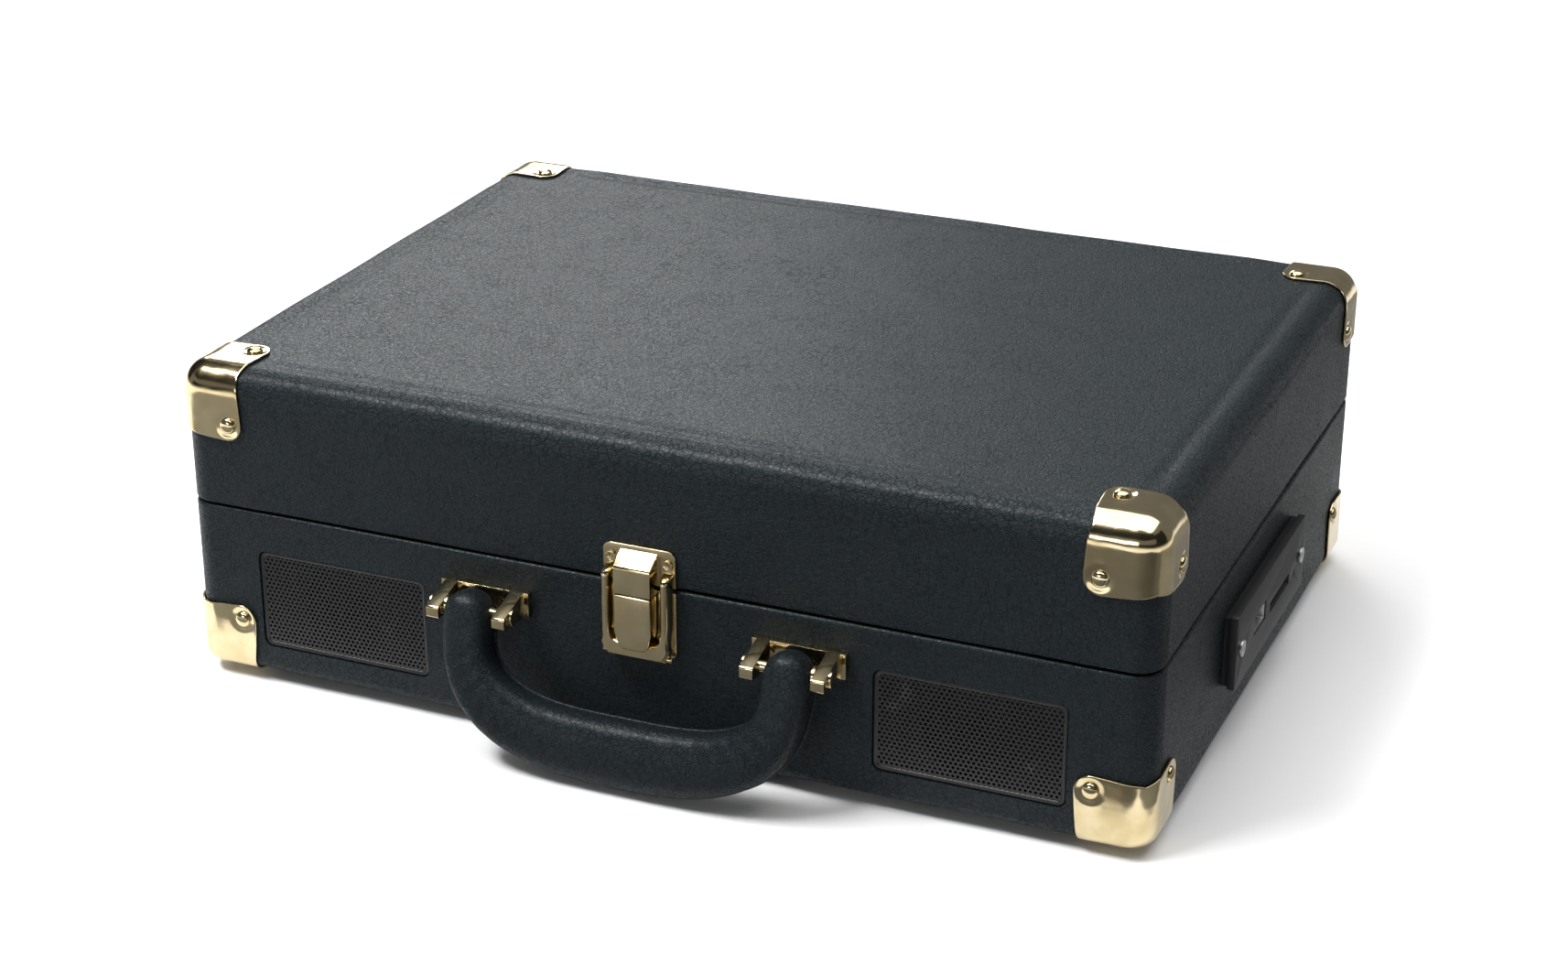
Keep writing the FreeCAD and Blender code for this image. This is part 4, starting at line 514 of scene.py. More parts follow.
class Wardrobe:
    """Every finish of the player, made once and handed out by slot."""

    def __init__(self) -> None:
        """Makes all the finishes."""
        low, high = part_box("platter")
        middle = (low + high) / 2
        made = {
            Slot.LEATHER: LeatherCloth("leather_cloth"),
            Slot.HANDLE: LeatherCloth("handle_leather", pebble=0.9 * MM, crease=2.2 * MM,
                                      crease_depth=0.26 * MM, roughness=0.40),
            Slot.GOLD: PaleGold("pale_gold"),
            Slot.BOARD: Board("case_board"),
            Slot.LINING: Fibre("lining_cloth", (0.016, 0.016, 0.018, 1), (0.035, 0.035, 0.038, 1)),
            Slot.RUBBER: Rubber("rubber"),
            Slot.GRILLE: Painted("black_grille"),
            Slot.CONE: Fibre("speaker_cone", (0.008, 0.008, 0.008, 1), (0.02, 0.02, 0.02, 1),
                             0.9 * MM, 0.05 * MM),
            Slot.PLASTIC: Moulded("black_plastic", (0.009, 0.009, 0.010, 1), (0.018, 0.018, 0.02, 1)),
            Slot.STEEL: Metal("bright_steel", (0.62, 0.62, 0.63, 1), (0.45, 0.45, 0.46, 1), 0.25),
            Slot.BRASS: Metal("bearing_brass", (0.75, 0.56, 0.27, 1), (0.55, 0.39, 0.18, 1), 0.3),
            Slot.DECK: Moulded("deck_plastic", (0.018, 0.018, 0.020, 1), (0.03, 0.03, 0.033, 1),
                               0.5, 0.6 * MM, 0.03 * MM),
            Slot.PLATTER: Moulded("platter_plastic", (0.01, 0.01, 0.011, 1), (0.02, 0.02, 0.022, 1), 0.3),
            Slot.FELT: Fibre("slip_mat", (0.02, 0.02, 0.024, 1), (0.05, 0.05, 0.055, 1), 0.8 * MM, 0.15 * MM,
                             (middle.x, middle.y, 6 * MM)),
            Slot.ARM: Moulded("tonearm_plastic", (0.012, 0.012, 0.013, 1), (0.02, 0.02, 0.022, 1), 0.25),
            Slot.CARTRIDGE: Moulded("cartridge_plastic", (0.42, 0.02, 0.015, 1), (0.5, 0.05, 0.03, 1), 0.22),
            Slot.CIRCUIT: Circuit("circuit_board"),
        }
        self.made = {slot: kind.make() for slot, kind in made.items()}

    def dress(self, piece: bpy.types.Object, slot: Slot) -> None:
        """Gives a piece one finish all over."""
        piece.data.materials.clear()
        piece.data.materials.append(self.made[slot])


# ---------------------------------------------------------------- mesh helpers


def report(piece: bpy.types.Object) -> bpy.types.Object:
    """Hands a finished piece back."""
    return piece


def smooth(mesh: bpy.types.Mesh, angle: float) -> None:
    """Shades a mesh smooth, with edges sharper than angle degrees left sharp."""
    mesh.shade_smooth()
    mesh.set_sharp_from_angle(angle=math.radians(angle))


def new_object(name: str, points: np.ndarray | Sequence[Point], faces: Iterable[Sequence[int]],
               angle: float = 40) -> bpy.types.Object:
    """Makes an object from points and faces, with close points joined.

    Args:
        name: The object's name.
        points: Its points, in metres.
        faces: Its faces, as numbers of points.
        angle: The angle above which an edge shows sharp, in degrees.

    Returns:
        The object.
    """
    mesh = bpy.data.meshes.new(name)
    mesh.from_pydata([tuple(p) for p in points], [], [tuple(f) for f in faces])
    work = bmesh.new()
    work.from_mesh(mesh)
    bmesh.ops.remove_doubles(work, verts=work.verts, dist=1e-6)
    bmesh.ops.dissolve_degenerate(work, edges=work.edges, dist=1e-7)
    bmesh.ops.recalc_face_normals(work, faces=work.faces)
    work.to_mesh(mesh)
    work.free()
    smooth(mesh, angle)
    made = bpy.data.objects.new(name, mesh)
    bpy.context.scene.collection.objects.link(made)
    return made


def grid_faces(rows: int, columns: int, wrap: bool = False) -> list[tuple[int, int, int, int]]:
    """Quads between the rows and columns of a sheet of points.

    Args:
        rows: How many rows.
        columns: How many columns.
        wrap: Whether the last column joins the first.

    Returns:
        The quads.
    """
    last = columns if wrap else columns - 1
    return [(r * columns + c, r * columns + (c + 1) % columns, (r + 1) * columns + (c + 1) % columns,
             (r + 1) * columns + c) for r in range(rows - 1) for c in range(last)]


def settle(piece: bpy.types.Object) -> bpy.types.Object:
    """Applies a piece's modifiers to its mesh."""
    bpy.context.view_layer.update()
    done = bpy.data.meshes.new_from_object(piece.evaluated_get(bpy.context.evaluated_depsgraph_get()))
    piece.modifiers.clear()
    piece.data = done
    return piece


def thicken(piece: bpy.types.Object, wall: float, bevel: float = 0.0) -> bpy.types.Object:
    """Gives a sheet its wall inwards, and rounds its cut edges.

    Args:
        piece: The sheet.
        wall: Its wall, in metres.
        bevel: The rounding of its edges, in metres.

    Returns:
        The piece.
    """
    solid = piece.modifiers.new("wall", "SOLIDIFY")
    solid.thickness = wall
    solid.offset = -1
    if bevel:
        round_off(piece, bevel)
    return piece


def round_off(piece: bpy.types.Object, width: float, segments: int = 2, angle: float = 40) -> None:
    """Adds a bevel to the edges sharper than angle degrees."""
    bevel = piece.modifiers.new("rounding", "BEVEL")
    bevel.width = width
    bevel.segments = segments
    bevel.limit_method = "ANGLE"
    bevel.angle_limit = math.radians(angle)


def turned_shape(name: str, centre: Vector, axis: Vector, profile: Sequence[tuple[float, float]],
                 steps: int = 32) -> tuple[list[Vector], list[tuple[int, ...]]]:
    """Points and faces of a shape turned about an axis.

    Args:
        name: What is turned, for the log.
        centre: Where the axis starts.
        axis: Its direction.
        profile: Radius and distance along the axis, in metres.
        steps: How many steps go round.

    Returns:
        The points and the faces.
    """
    LOG.debug("turning %s", name)
    along = axis.normalized()
    side = along.orthogonal().normalized()
    other = along.cross(side)
    points = [centre + along * reach + (side * math.cos(math.tau * k / steps) + other * math.sin(
        math.tau * k / steps)) * radius for radius, reach in profile for k in range(steps)]
    return points, grid_faces(len(profile), steps, True)


def joined(name: str, shapes: Iterable[tuple[Sequence[Vector], Sequence[tuple[int, ...]]]],
           angle: float = 40) -> bpy.types.Object:
    """One object from several shapes of points and faces."""
    points: list[Vector] = []
    faces: list[tuple[int, ...]] = []
    for more_points, more_faces in shapes:
        faces += [tuple(i + len(points) for i in face) for face in more_faces]
        points += list(more_points)
    return new_object(name, points, faces, angle)


def rounded_rectangle(half_width: float, half_height: float, radius: float,
                      steps: int = 8) -> list[tuple[float, float]]:
    """The outline of a rectangle with round corners, about its middle.

    Args:
        half_width: Half its width.
        half_height: Half its height.
        radius: Its corners' radius.
        steps: Steps in each corner.

    Returns:
        Its points in order.
    """
    outline = []
    for corner, (sx, sy) in enumerate(((1, 1), (-1, 1), (-1, -1), (1, -1))):
        for k in range(steps + 1):
            turn = math.pi / 2 * (corner + k / steps)
            outline.append((sx * (half_width - radius) + radius * math.cos(turn),
                            sy * (half_height - radius) + radius * math.sin(turn)))
    return outline


def refined(node: str, width: float, slot: Slot, wardrobe: Wardrobe, name: str = "") -> bpy.types.Object:
    """A finished copy of a node whose sharp edges are broken, in place of the node.

    Args:
        node: The node's name.
        width: How far its edges are broken, in metres.
        slot: Its finish.
        wardrobe: The finishes.
        name: The new piece's name.

    Returns:
        The piece, on the node's own body.
    """
    source = frame["nodes"][node]
    work = bmesh.new()
    work.from_mesh(source.data)
    bmesh.ops.remove_doubles(work, verts=work.verts, dist=2e-6)
    bmesh.ops.dissolve_limit(work, angle_limit=math.radians(0.4), verts=work.verts, edges=work.edges)
    bmesh.ops.recalc_face_normals(work, faces=work.faces)
    mesh = bpy.data.meshes.new(name or node + "_finished")
    work.to_mesh(mesh)
    work.free()
    made = bpy.data.objects.new(mesh.name, mesh)
    bpy.context.scene.collection.objects.link(made)
    round_off(made, width, 3, 32)
    settle(made)
    smooth(made.data, 45)
    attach(made, source["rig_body"])
    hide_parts(node)
    wardrobe.dress(made, slot)
    return report(made)


# ---------------------------------------------------------------- leather-cloth covers


class Half(Enum):
    """The two halves of the case."""

    LID = "lid"
    BASE = "base"


@dataclass
class CaseCover:
    """Leather cloth wrapped round one half of the case, from its rim to its closed end."""

    half: Half
    side_radius: float = 9 * MM
    end_radius: float = 9 * MM
    wall: float = 0.95 * MM
    rim_width: float = 7 * MM
    rim_curl: float = 1.0 * MM
    seam_start: float = 1.25 * MM
    seam_depth: float = 0.95 * MM
    lap: float = 0.32 * MM
    corner_reach: float = 25 * MM
    spacing: float = 2.6 * MM

    def __post_init__(self) -> None:
        """Reads where the half's cover is."""
        self.low, self.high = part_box(f"{self.half.value}_cover")
        self.middle = (self.low + self.high) / 2
        self.half_x = (self.high.x - self.low.x) / 2
        self.half_y = (self.high.y - self.low.y) / 2
        self.up = 1 if self.half is Half.LID else -1
        self.rim = self.low.z if self.half is Half.LID else self.high.z
        self.height = self.high.z - self.low.z

    def profile(self) -> np.ndarray:
        """The section from the rim's inner edge to the middle of the closed end.

        Returns:
            Rows of inset, rise from the rim, outward and upward share of the normal, and fold.
        """
        rows = [(self.rim_width, 0.9 * MM, -1, 0, 0), (self.rim_width, 0.4 * MM, -1, 0, 0),
                (self.rim_width - 0.4 * MM, 0, 0, -1, 0), (3 * MM, 0, 0, -1, 0)]
        for k in range(7):
            turn = math.pi / 2 * k / 6
            rows.append((self.rim_curl * (1 - math.sin(turn)), self.rim_curl * (1 - math.cos(turn)),
                         math.sin(turn), -math.cos(turn), 0.15))
        flat = self.height - self.end_radius - self.rim_curl
        count = max(4, round(flat / self.spacing))
        for k in range(1, count):
            near = 1 - k / count
            fold = max(0.0, 1 - near * flat / (14 * MM)) * 0.55
            rows.append((0, self.rim_curl + flat * k / count, 1, 0, fold))
        for k in range(15):
            turn = math.pi / 2 * k / 14
            rows.append((self.end_radius * (1 - math.cos(turn)),
                         self.height - self.end_radius * (1 - math.sin(turn)),
                         math.cos(turn), math.sin(turn), 0.6 + 0.4 * math.sin(turn * 2)))
        inset = self.end_radius
        while inset < self.half_y - 4 * MM:
            inset += 1.5 * MM if inset < 24 * MM else 6 * MM
            past = (inset - self.end_radius) / (9 * MM)
            rows.append((min(inset, self.half_y), self.height, 0, 1, max(0.0, 1 - past) * 0.6))
        rows.append((self.half_y, self.height, 0, 1, 0))
        return np.array(rows, float)

    def columns(self) -> np.ndarray:
        """The places round the case.

        Returns:
            Rows of share of the core's half width and depth, direction across and along, and the way
            past the seam.
        """
        made = []
        straight_x = self.half_x - self.side_radius
        straight_y = self.half_y - self.side_radius
        across = np.linspace(-1, 1, round(2 * straight_x / self.spacing))
        marks = np.concatenate([np.linspace(0.0, 2.6, 19), [3.0, 3.6, 4.4]]) * MM
        rest = np.linspace(6 * MM, 2 * straight_y, round(2 * straight_y / self.spacing))
        along = np.concatenate([marks, rest]) / straight_y - 1
        turns = np.linspace(0, math.pi / 2, 13)[1:-1]
        made += [(f, -1, 0, -1, 9) for f in across]
        made += [(1, -1, math.sin(t), -math.cos(t), 9) for t in turns]
        made += [(1, f, 1, 0, (f + 1) * straight_y) for f in along]
        made += [(1, 1, math.cos(t), math.sin(t), 9) for t in turns]
        made += [(-f, 1, 0, 1, 9) for f in across]
        made += [(-1, 1, -math.sin(t), math.cos(t), 9) for t in turns]
        made += [(-1, f, -1, 0, (f + 1) * straight_y) for f in along[::-1]]
        made += [(-1, -1, -math.cos(t), -math.sin(t), 9) for t in turns]
        return np.array(made, float)

    def seam(self, past: np.ndarray) -> np.ndarray:
        """How far the cloth stands out near the upright seam, by the way past the edge's end."""
        gap = past - self.seam_start
        groove = -self.seam_depth * np.exp(-((gap / (0.42 * MM)) ** 2))
        lip = self.lap * np.exp(np.minimum(gap, 0) / (4 * MM)) * (gap <= 0)
        return np.where(past < 1, groove + lip, 0.0)

    def roll(self, profile: np.ndarray) -> np.ndarray:
        """How the padded edge swells over the corner and sinks in beyond it, by row."""
        past = (profile[:, 0] - self.end_radius) / MM
        on_end = np.isclose(profile[:, 1], self.height)
        sink = -0.55 * MM * np.exp(-(((past - 4.0) / 2.3) ** 2)) * on_end
        swell = 0.22 * MM * profile[:, 4] * (profile[:, 1] > self.height - self.end_radius * 1.6)
        bead = (0.38 if self.half is Half.BASE else -0.1) * MM
        rim = bead * np.exp(-(((profile[:, 1] / MM - 0.9) / 1.5) ** 2)) * (profile[:, 0] < self.rim_curl)
        return sink + swell + rim

    def make(self, wardrobe: Wardrobe) -> bpy.types.Object:
        """Builds the cover, cuts its windows and dresses it.

        Args:
            wardrobe: The finishes.

        Returns:
            The cover.
        """
        profile, columns = self.profile(), self.columns()
        inset = profile[:, :1]
        core = np.maximum(inset, self.side_radius)
        radius = np.maximum(self.side_radius - inset, 0)
        x = columns[:, 0] * (self.half_x - core) + radius * columns[:, 2]
        y = columns[:, 1] * (self.half_y - core) + radius * columns[:, 3]
        rise = np.repeat(profile[:, 1:2], len(columns), 1)
        nx, ny = profile[:, 2:3] * columns[:, 2], profile[:, 2:3] * columns[:, 3]
        nz = np.repeat(profile[:, 3:4], len(columns), 1)
        to_corner = np.maximum(self.half_x - np.abs(x), self.half_y - np.abs(y))
        clear = np.clip((to_corner - self.corner_reach) / (14 * MM), 0, 1)
        walls = (profile[:, 2:3] > 0.99) * np.ones_like(x)
        out = self.roll(profile)[:, None] * clear + self.seam(columns[:, 4])[None, :] * walls
        wave = np.sin(x * 47 + rise * 31) * np.cos(y * 41 + 1.3)
        wave = wave + 0.6 * np.sin(x * 113 + y * 87 + rise * 140)
        out = out + 0.12 * MM * wave * clear * (profile[:, 4:5] * 0.8 + 0.35)
        x, y, rise = x + nx * out, y + ny * out, rise + nz * out
        points = np.stack([self.middle.x + x, self.middle.y + y, self.rim + self.up * rise], -1)
        faces = grid_faces(len(profile), len(columns), True)
        cover = new_object(f"{self.half.value}_leather_cloth", points.reshape(-1, 3), faces, 60)
        thicken(cover, self.wall)
        if self.half is Half.BASE:
            self.cut_windows(cover)
        settle(cover)
        self.mark_folds(cover)
        smooth(cover.data, 50)
        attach(cover, self.half.value)
        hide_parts(f"{self.half.value}_cover")
        wardrobe.dress(cover, Slot.LEATHER)
        return report(cover)

    def mark_folds(self, cover: bpy.types.Object) -> None:
        """Keeps on each point how strongly the cloth is creased there, which also sets how much painted
        crease shade the finish shows.
        """
        points = np.empty(len(cover.data.vertices) * 3)
        cover.data.vertices.foreach_get("co", points)
        points = points.reshape(-1, 3)
        end = self.rim + self.up * self.height
        to_end = np.abs(end - points[:, 2])
        to_side = np.minimum(self.half_x - np.abs(points[:, 0] - self.middle.x),
                             self.half_y - np.abs(points[:, 1] - self.middle.y))
        bend = np.clip(1.35 - np.hypot(to_end, np.maximum(to_side, 0)) / (13 * MM), 0, 1)
        rim = 0.3 * np.clip(1 - np.abs(points[:, 2] - self.rim) / (3 * MM), 0, 1)
        fold = cover.data.attributes.new("fold", "FLOAT", "POINT")
        fold.data.foreach_set("value", np.maximum(bend, rim).astype(np.float32))

    def cut_windows(self, cover: bpy.types.Object) -> None:
        """Cuts the speakers' windows and the one behind the side panel."""
        windows = (("speaker_grille_left", -0.2 * MM, 1), ("speaker_grille_right", -0.2 * MM, 1),
                   ("side_panel", 6 * MM, 0))
        for node, inset, axis in windows:
            low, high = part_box(node)
            middle, half = (low + high) / 2, (high - low) / 2
            wide = half[1 - axis] - inset
            outline = rounded_rectangle(wide, half.z - inset, 3 * MM)
            points = []
            for reach in (-12 * MM, 12 * MM):
                for across, rise in outline:
                    place = Vector(middle)
                    place[1 - axis] += across
                    place.z += rise
                    place[axis] += reach
                    points.append(place)
            count = len(outline)
            ends = [tuple(range(count)), tuple(range(2 * count - 1, count - 1, -1))]
            faces = grid_faces(2, count, True) + ends
            cutter = new_object("window", points, faces)
            cut = cover.modifiers.new("window", "BOOLEAN")
            cut.operation = "DIFFERENCE"
            cut.solver = "EXACT"
            cut.object = cutter
            settle(cover)
            bpy.data.objects.remove(cutter)


# ---------------------------------------------------------------- corner protectors


@dataclass
class Corners:
    """Pressed metal corner protectors and their domed rivets on one half of the case."""

    half: Half
    size: float = 25 * MM
    gap: float = 0.12 * MM
    sheet: float = 0.9 * MM
    lobe: float = 6.5 * MM
    waist: float = 0.075
    side_radius: float = 9 * MM
    end_radius: float = 9 * MM
    rivet_inset: float = 19.5 * MM
    rivet_radius: float = 2.8 * MM
    rivet_rise: float = 1.45 * MM
    dimple: float = 0.42 * MM
    steps: int = 34

    def __post_init__(self) -> None:
        """Reads where the half's cover is."""
        self.low, self.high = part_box(f"{self.half.value}_cover")

    def on_shell(self, places: np.ndarray, offset: float) -> tuple[np.ndarray, np.ndarray]:
        """Drops places from the cube round a corner onto the rounded shell.

        Args:
            places: Distances in from the corner's three flat faces.
            offset: How far off the shell they stand.

        Returns:
            The places on the shell, and the directions out of it.
        """
        inner = self.side_radius - self.end_radius
        flat = np.maximum(places[:, :2], self.side_radius)
        gone = places[:, :2] - flat
        length = np.linalg.norm(gone, axis=1, keepdims=True)
        share = np.where(length > inner, inner / np.maximum(length, 1e-9), 1.0)
        core = np.concatenate([flat + gone * share, np.maximum(places[:, 2:], self.end_radius)], 1)
        out = places - core
        out /= np.linalg.norm(out, axis=1, keepdims=True)
        return core + out * (self.end_radius + offset), out

    def sheet_places(self) -> tuple[np.ndarray, list[tuple[int, ...]]]:
        """Places on the cube's three faces, with the far corners rounded and the waists drawn in."""
        s, t = np.meshgrid(np.linspace(0, 1, self.steps), np.linspace(0, 1, self.steps), indexing="ij")
        s, t = s.ravel(), t.ravel()
        a = self.size * s * (1 - self.waist * (1 - t) ** 2)
        b = self.size * t * (1 - self.waist * (1 - s) ** 2)
        start = self.size - self.lobe
        u, v = np.clip((a - start) / self.lobe, 0, 1), np.clip((b - start) / self.lobe, 0, 1)
        far = (u > 0) & (v > 0)
        a = np.where(far, start + self.lobe * u * np.sqrt(1 - v * v / 2), a)
        b = np.where(far, start + self.lobe * v * np.sqrt(1 - u * u / 2), b)
        zero = np.zeros_like(a)
        places = np.concatenate([np.stack(p, 1) for p in ((a, b, zero), (a, zero, b), (zero, a, b))])
        patch = grid_faces(self.steps, self.steps)
        count = self.steps ** 2
        return places, [tuple(i + k * count for i in face) for k in range(3) for face in patch]

    def to_case(self, places: np.ndarray, signs: tuple[int, int]) -> np.ndarray:
        """Turns distances from a corner into places on the case.

        Args:
            places: Distances in from the corner's faces.
            signs: Which corner: the sign of its x and y.

        Returns:
            The places on the case.
        """
        x = self.high.x - places[:, 0] if signs[0] > 0 else self.low.x + places[:, 0]
        y = self.high.y - places[:, 1] if signs[1] > 0 else self.low.y + places[:, 1]
        z = self.high.z - places[:, 2] if self.half is Half.LID else self.low.z + places[:, 2]
        return np.stack([x, y, z], 1)

    def rivet_seats(self) -> list[np.ndarray]:
        """The three rivets' places in from the corner's faces."""
        r = self.rivet_inset
        return [np.array([[r, r, 0.0]]), np.array([[r, 0.0, r]]), np.array([[0.0, r, r]])]

    def make(self, wardrobe: Wardrobe) -> None:
        """Builds the half's four corners and their rivets."""
        rivets = []
        for signs, where in (((-1, -1), "front_left"), ((1, -1), "front_right"), ((-1, 1), "rear_left"),
                             ((1, 1), "rear_right")):
            places, faces = self.sheet_places()
            shell, out = self.on_shell(places, self.gap + self.sheet)
            dent = np.zeros(len(shell))
            for seat in self.rivet_seats():
                near = np.linalg.norm(shell - seat, axis=1) / (5.2 * MM)
                dent = np.maximum(dent, np.clip(1 - near, 0, 1) ** 0.8)
                ring = np.exp(-(((near * 5.2 - 4.6) / 0.7) ** 2))
                shell = shell + out * (0.1 * MM * ring)[:, None]
            shell = shell - out * (self.dimple * np.minimum(dent * 2, 1))[:, None]
            piece = new_object(f"{self.half.value}_{where}_corner", self.to_case(shell, signs), faces, 50)
            thicken(piece, self.sheet * 0.8, 0.22 * MM)
            settle(piece)
            smooth(piece.data, 50)
            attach(piece, self.half.value)
            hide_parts(f"{self.half.value}_corner_{where}")
            wardrobe.dress(piece, Slot.GOLD)
            report(piece)
            for seat in self.rivet_seats():
                rivets.append(self.rivet(seat, signs))
        made = joined(f"{self.half.value}_corner_rivet_heads", rivets, 35)
        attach(made, self.half.value)
        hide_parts(f"{self.half.value}_corner_rivets")
        wardrobe.dress(made, Slot.GOLD)
        report(made)

    def rivet(self, seat: np.ndarray, signs: tuple[int, int]) -> tuple[list[Vector], list[tuple[int, ...]]]:
        """One domed rivet head.

        Args:
            seat: Its place in from the corner's faces.
            signs: Which corner it is on.

        Returns:
            Its points and faces.
        """
        foot, out = self.on_shell(seat, self.gap + self.sheet - self.dimple)
        tip = self.to_case(foot + out * MM, signs)[0]
        base = Vector(self.to_case(foot, signs)[0])
        r, h = self.rivet_radius, self.rivet_rise
        profile = [(r * 0.96, -0.3 * MM), (r, 0.15 * MM)]
        profile += [(r * math.cos(t), 0.25 * MM + (h - 0.1 * MM) * math.sin(t)) for t in
                    (math.pi / 2 * k / 9 for k in range(9))]
        profile.append((0.0, h + 0.15 * MM))
        return turned_shape("rivet", base, Vector(tip) - base, profile, 28)


# ---------------------------------------------------------------- latch


@dataclass
class Latch:
    """The draw latch: its pressed U-shaped lever, claw, strike, plates and screws."""

    arm_arch: float = 2.4
    stations: int = 26
    slot_half: float = 8.8 * MM
    slot_rise: float = 6.8 * MM
    slot_round: float = 3.2 * MM
    heel_round: float = 3.0 * MM
    heel_drop: float = 2.2 * MM
    pinch: float = 0.45 * MM

    def lever_lines(self) -> tuple[np.ndarray, np.ndarray, np.ndarray]:
        """The lever's inner and outer outlines and how flat it is between them, from left to right.

        Returns:
            Inner points, outer points and flatness, one row for each station.
        """
        low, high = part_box("latch_lever")
        half, top, bottom = high.x, high.z, low.z
        slot, slot_low = self.slot_half, bottom + self.slot_rise
        inner, outer, flat = [], [], []
        for k in range(self.stations):
            s = k / (self.stations - 1)
            z = top + (slot_low + self.slot_round - top) * s
            pinch = self.pinch * math.exp(-(((z - slot_low - 3.4 * MM) / (2.2 * MM)) ** 2))
            inner.append((slot - 0.1 * MM + pinch * 0.2, z))
            outer.append((half - pinch, z + (bottom + 5.2 * MM - z) * s ** 12))
            flat.append(min(1.0, s ** 16))
        for k in range(1, 12):
            turn = math.pi / 2 * k / 12
            inner.append((slot - self.slot_round * (1 - math.cos(turn)),
                          slot_low + self.slot_round * (1 - math.sin(turn))))
            outer.append((half - self.heel_round * (1 - math.cos(turn)),
                          bottom + self.heel_round * (1 - math.sin(turn)) + self.heel_drop * (1 - k / 12)))
            flat.append(1.0)
        for k in range(9):
            s = k / 8
            inner.append(((slot - self.slot_round) * (1 - s), slot_low))
            outer.append(((half - self.heel_round) * (1 - s), bottom))
            flat.append(1.0)
        right = np.array(inner), np.array(outer), np.array(flat)
        return tuple(np.concatenate([side * ([-1, 1] if side.ndim == 2 else 1), side[-2::-1]])
                     for side in right)

    def lever(self, wardrobe: Wardrobe) -> None:
        """Builds the lever as a pressed, hollow-backed rail bent into a U."""
        low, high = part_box("latch_lever")
        front, back = low.y, low.y + 5.0 * MM
        inner, outer, flat = self.lever_lines()
        across = np.linspace(0, 1, 25)
        rows = []
        ends = len(inner) - 1
        for j, (a, b, level) in enumerate(zip(inner, outer, flat)):
            arch = (1 - np.abs(2 * across - 1) ** self.arm_arch) ** (1 / self.arm_arch)
            press = np.minimum(1, np.minimum(across * 7, (1 - across) * 9)) ** 0.5
            crease = np.where(across > 0.8, 0.80, 1.0)
            rise = arch * (1 - level) + press * crease * level
            past = min(j, ends - j)
            cap = min(1.0, math.sqrt(1 - (1 - min(past, 2) / 2) ** 2))
            y = back + (front - back) * np.maximum(rise * cap, 0.0)
            xz = a[None, :] + (b - a)[None, :] * across[:, None]
            rows.append(np.stack([xz[:, 0], y, xz[:, 1]], 1))
        points = np.concatenate(rows)
        piece = new_object("latch_pressed_lever", points, grid_faces(len(rows), len(across)), 50)
        thicken(piece, 0.9 * MM, 0.15 * MM)
        settle(piece)
        smooth(piece.data, 45)
        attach(piece, "latch")
        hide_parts("latch_lever")
        wardrobe.dress(piece, Slot.GOLD)
        report(piece)

    def make(self, wardrobe: Wardrobe) -> None:
        """Builds and dresses the whole latch."""
        self.lever(wardrobe)
        refined("strike_plate", 0.42 * MM, Slot.GOLD, wardrobe)
        refined("latch_claw", 0.42 * MM, Slot.GOLD, wardrobe)
        refined("latch_plate", 0.3 * MM, Slot.GOLD, wardrobe)
        refined("latch_pin", 0.1 * MM, Slot.GOLD, wardrobe)
        refined("lid_screws", 0.1 * MM, Slot.GOLD, wardrobe)


# ---------------------------------------------------------------- handle


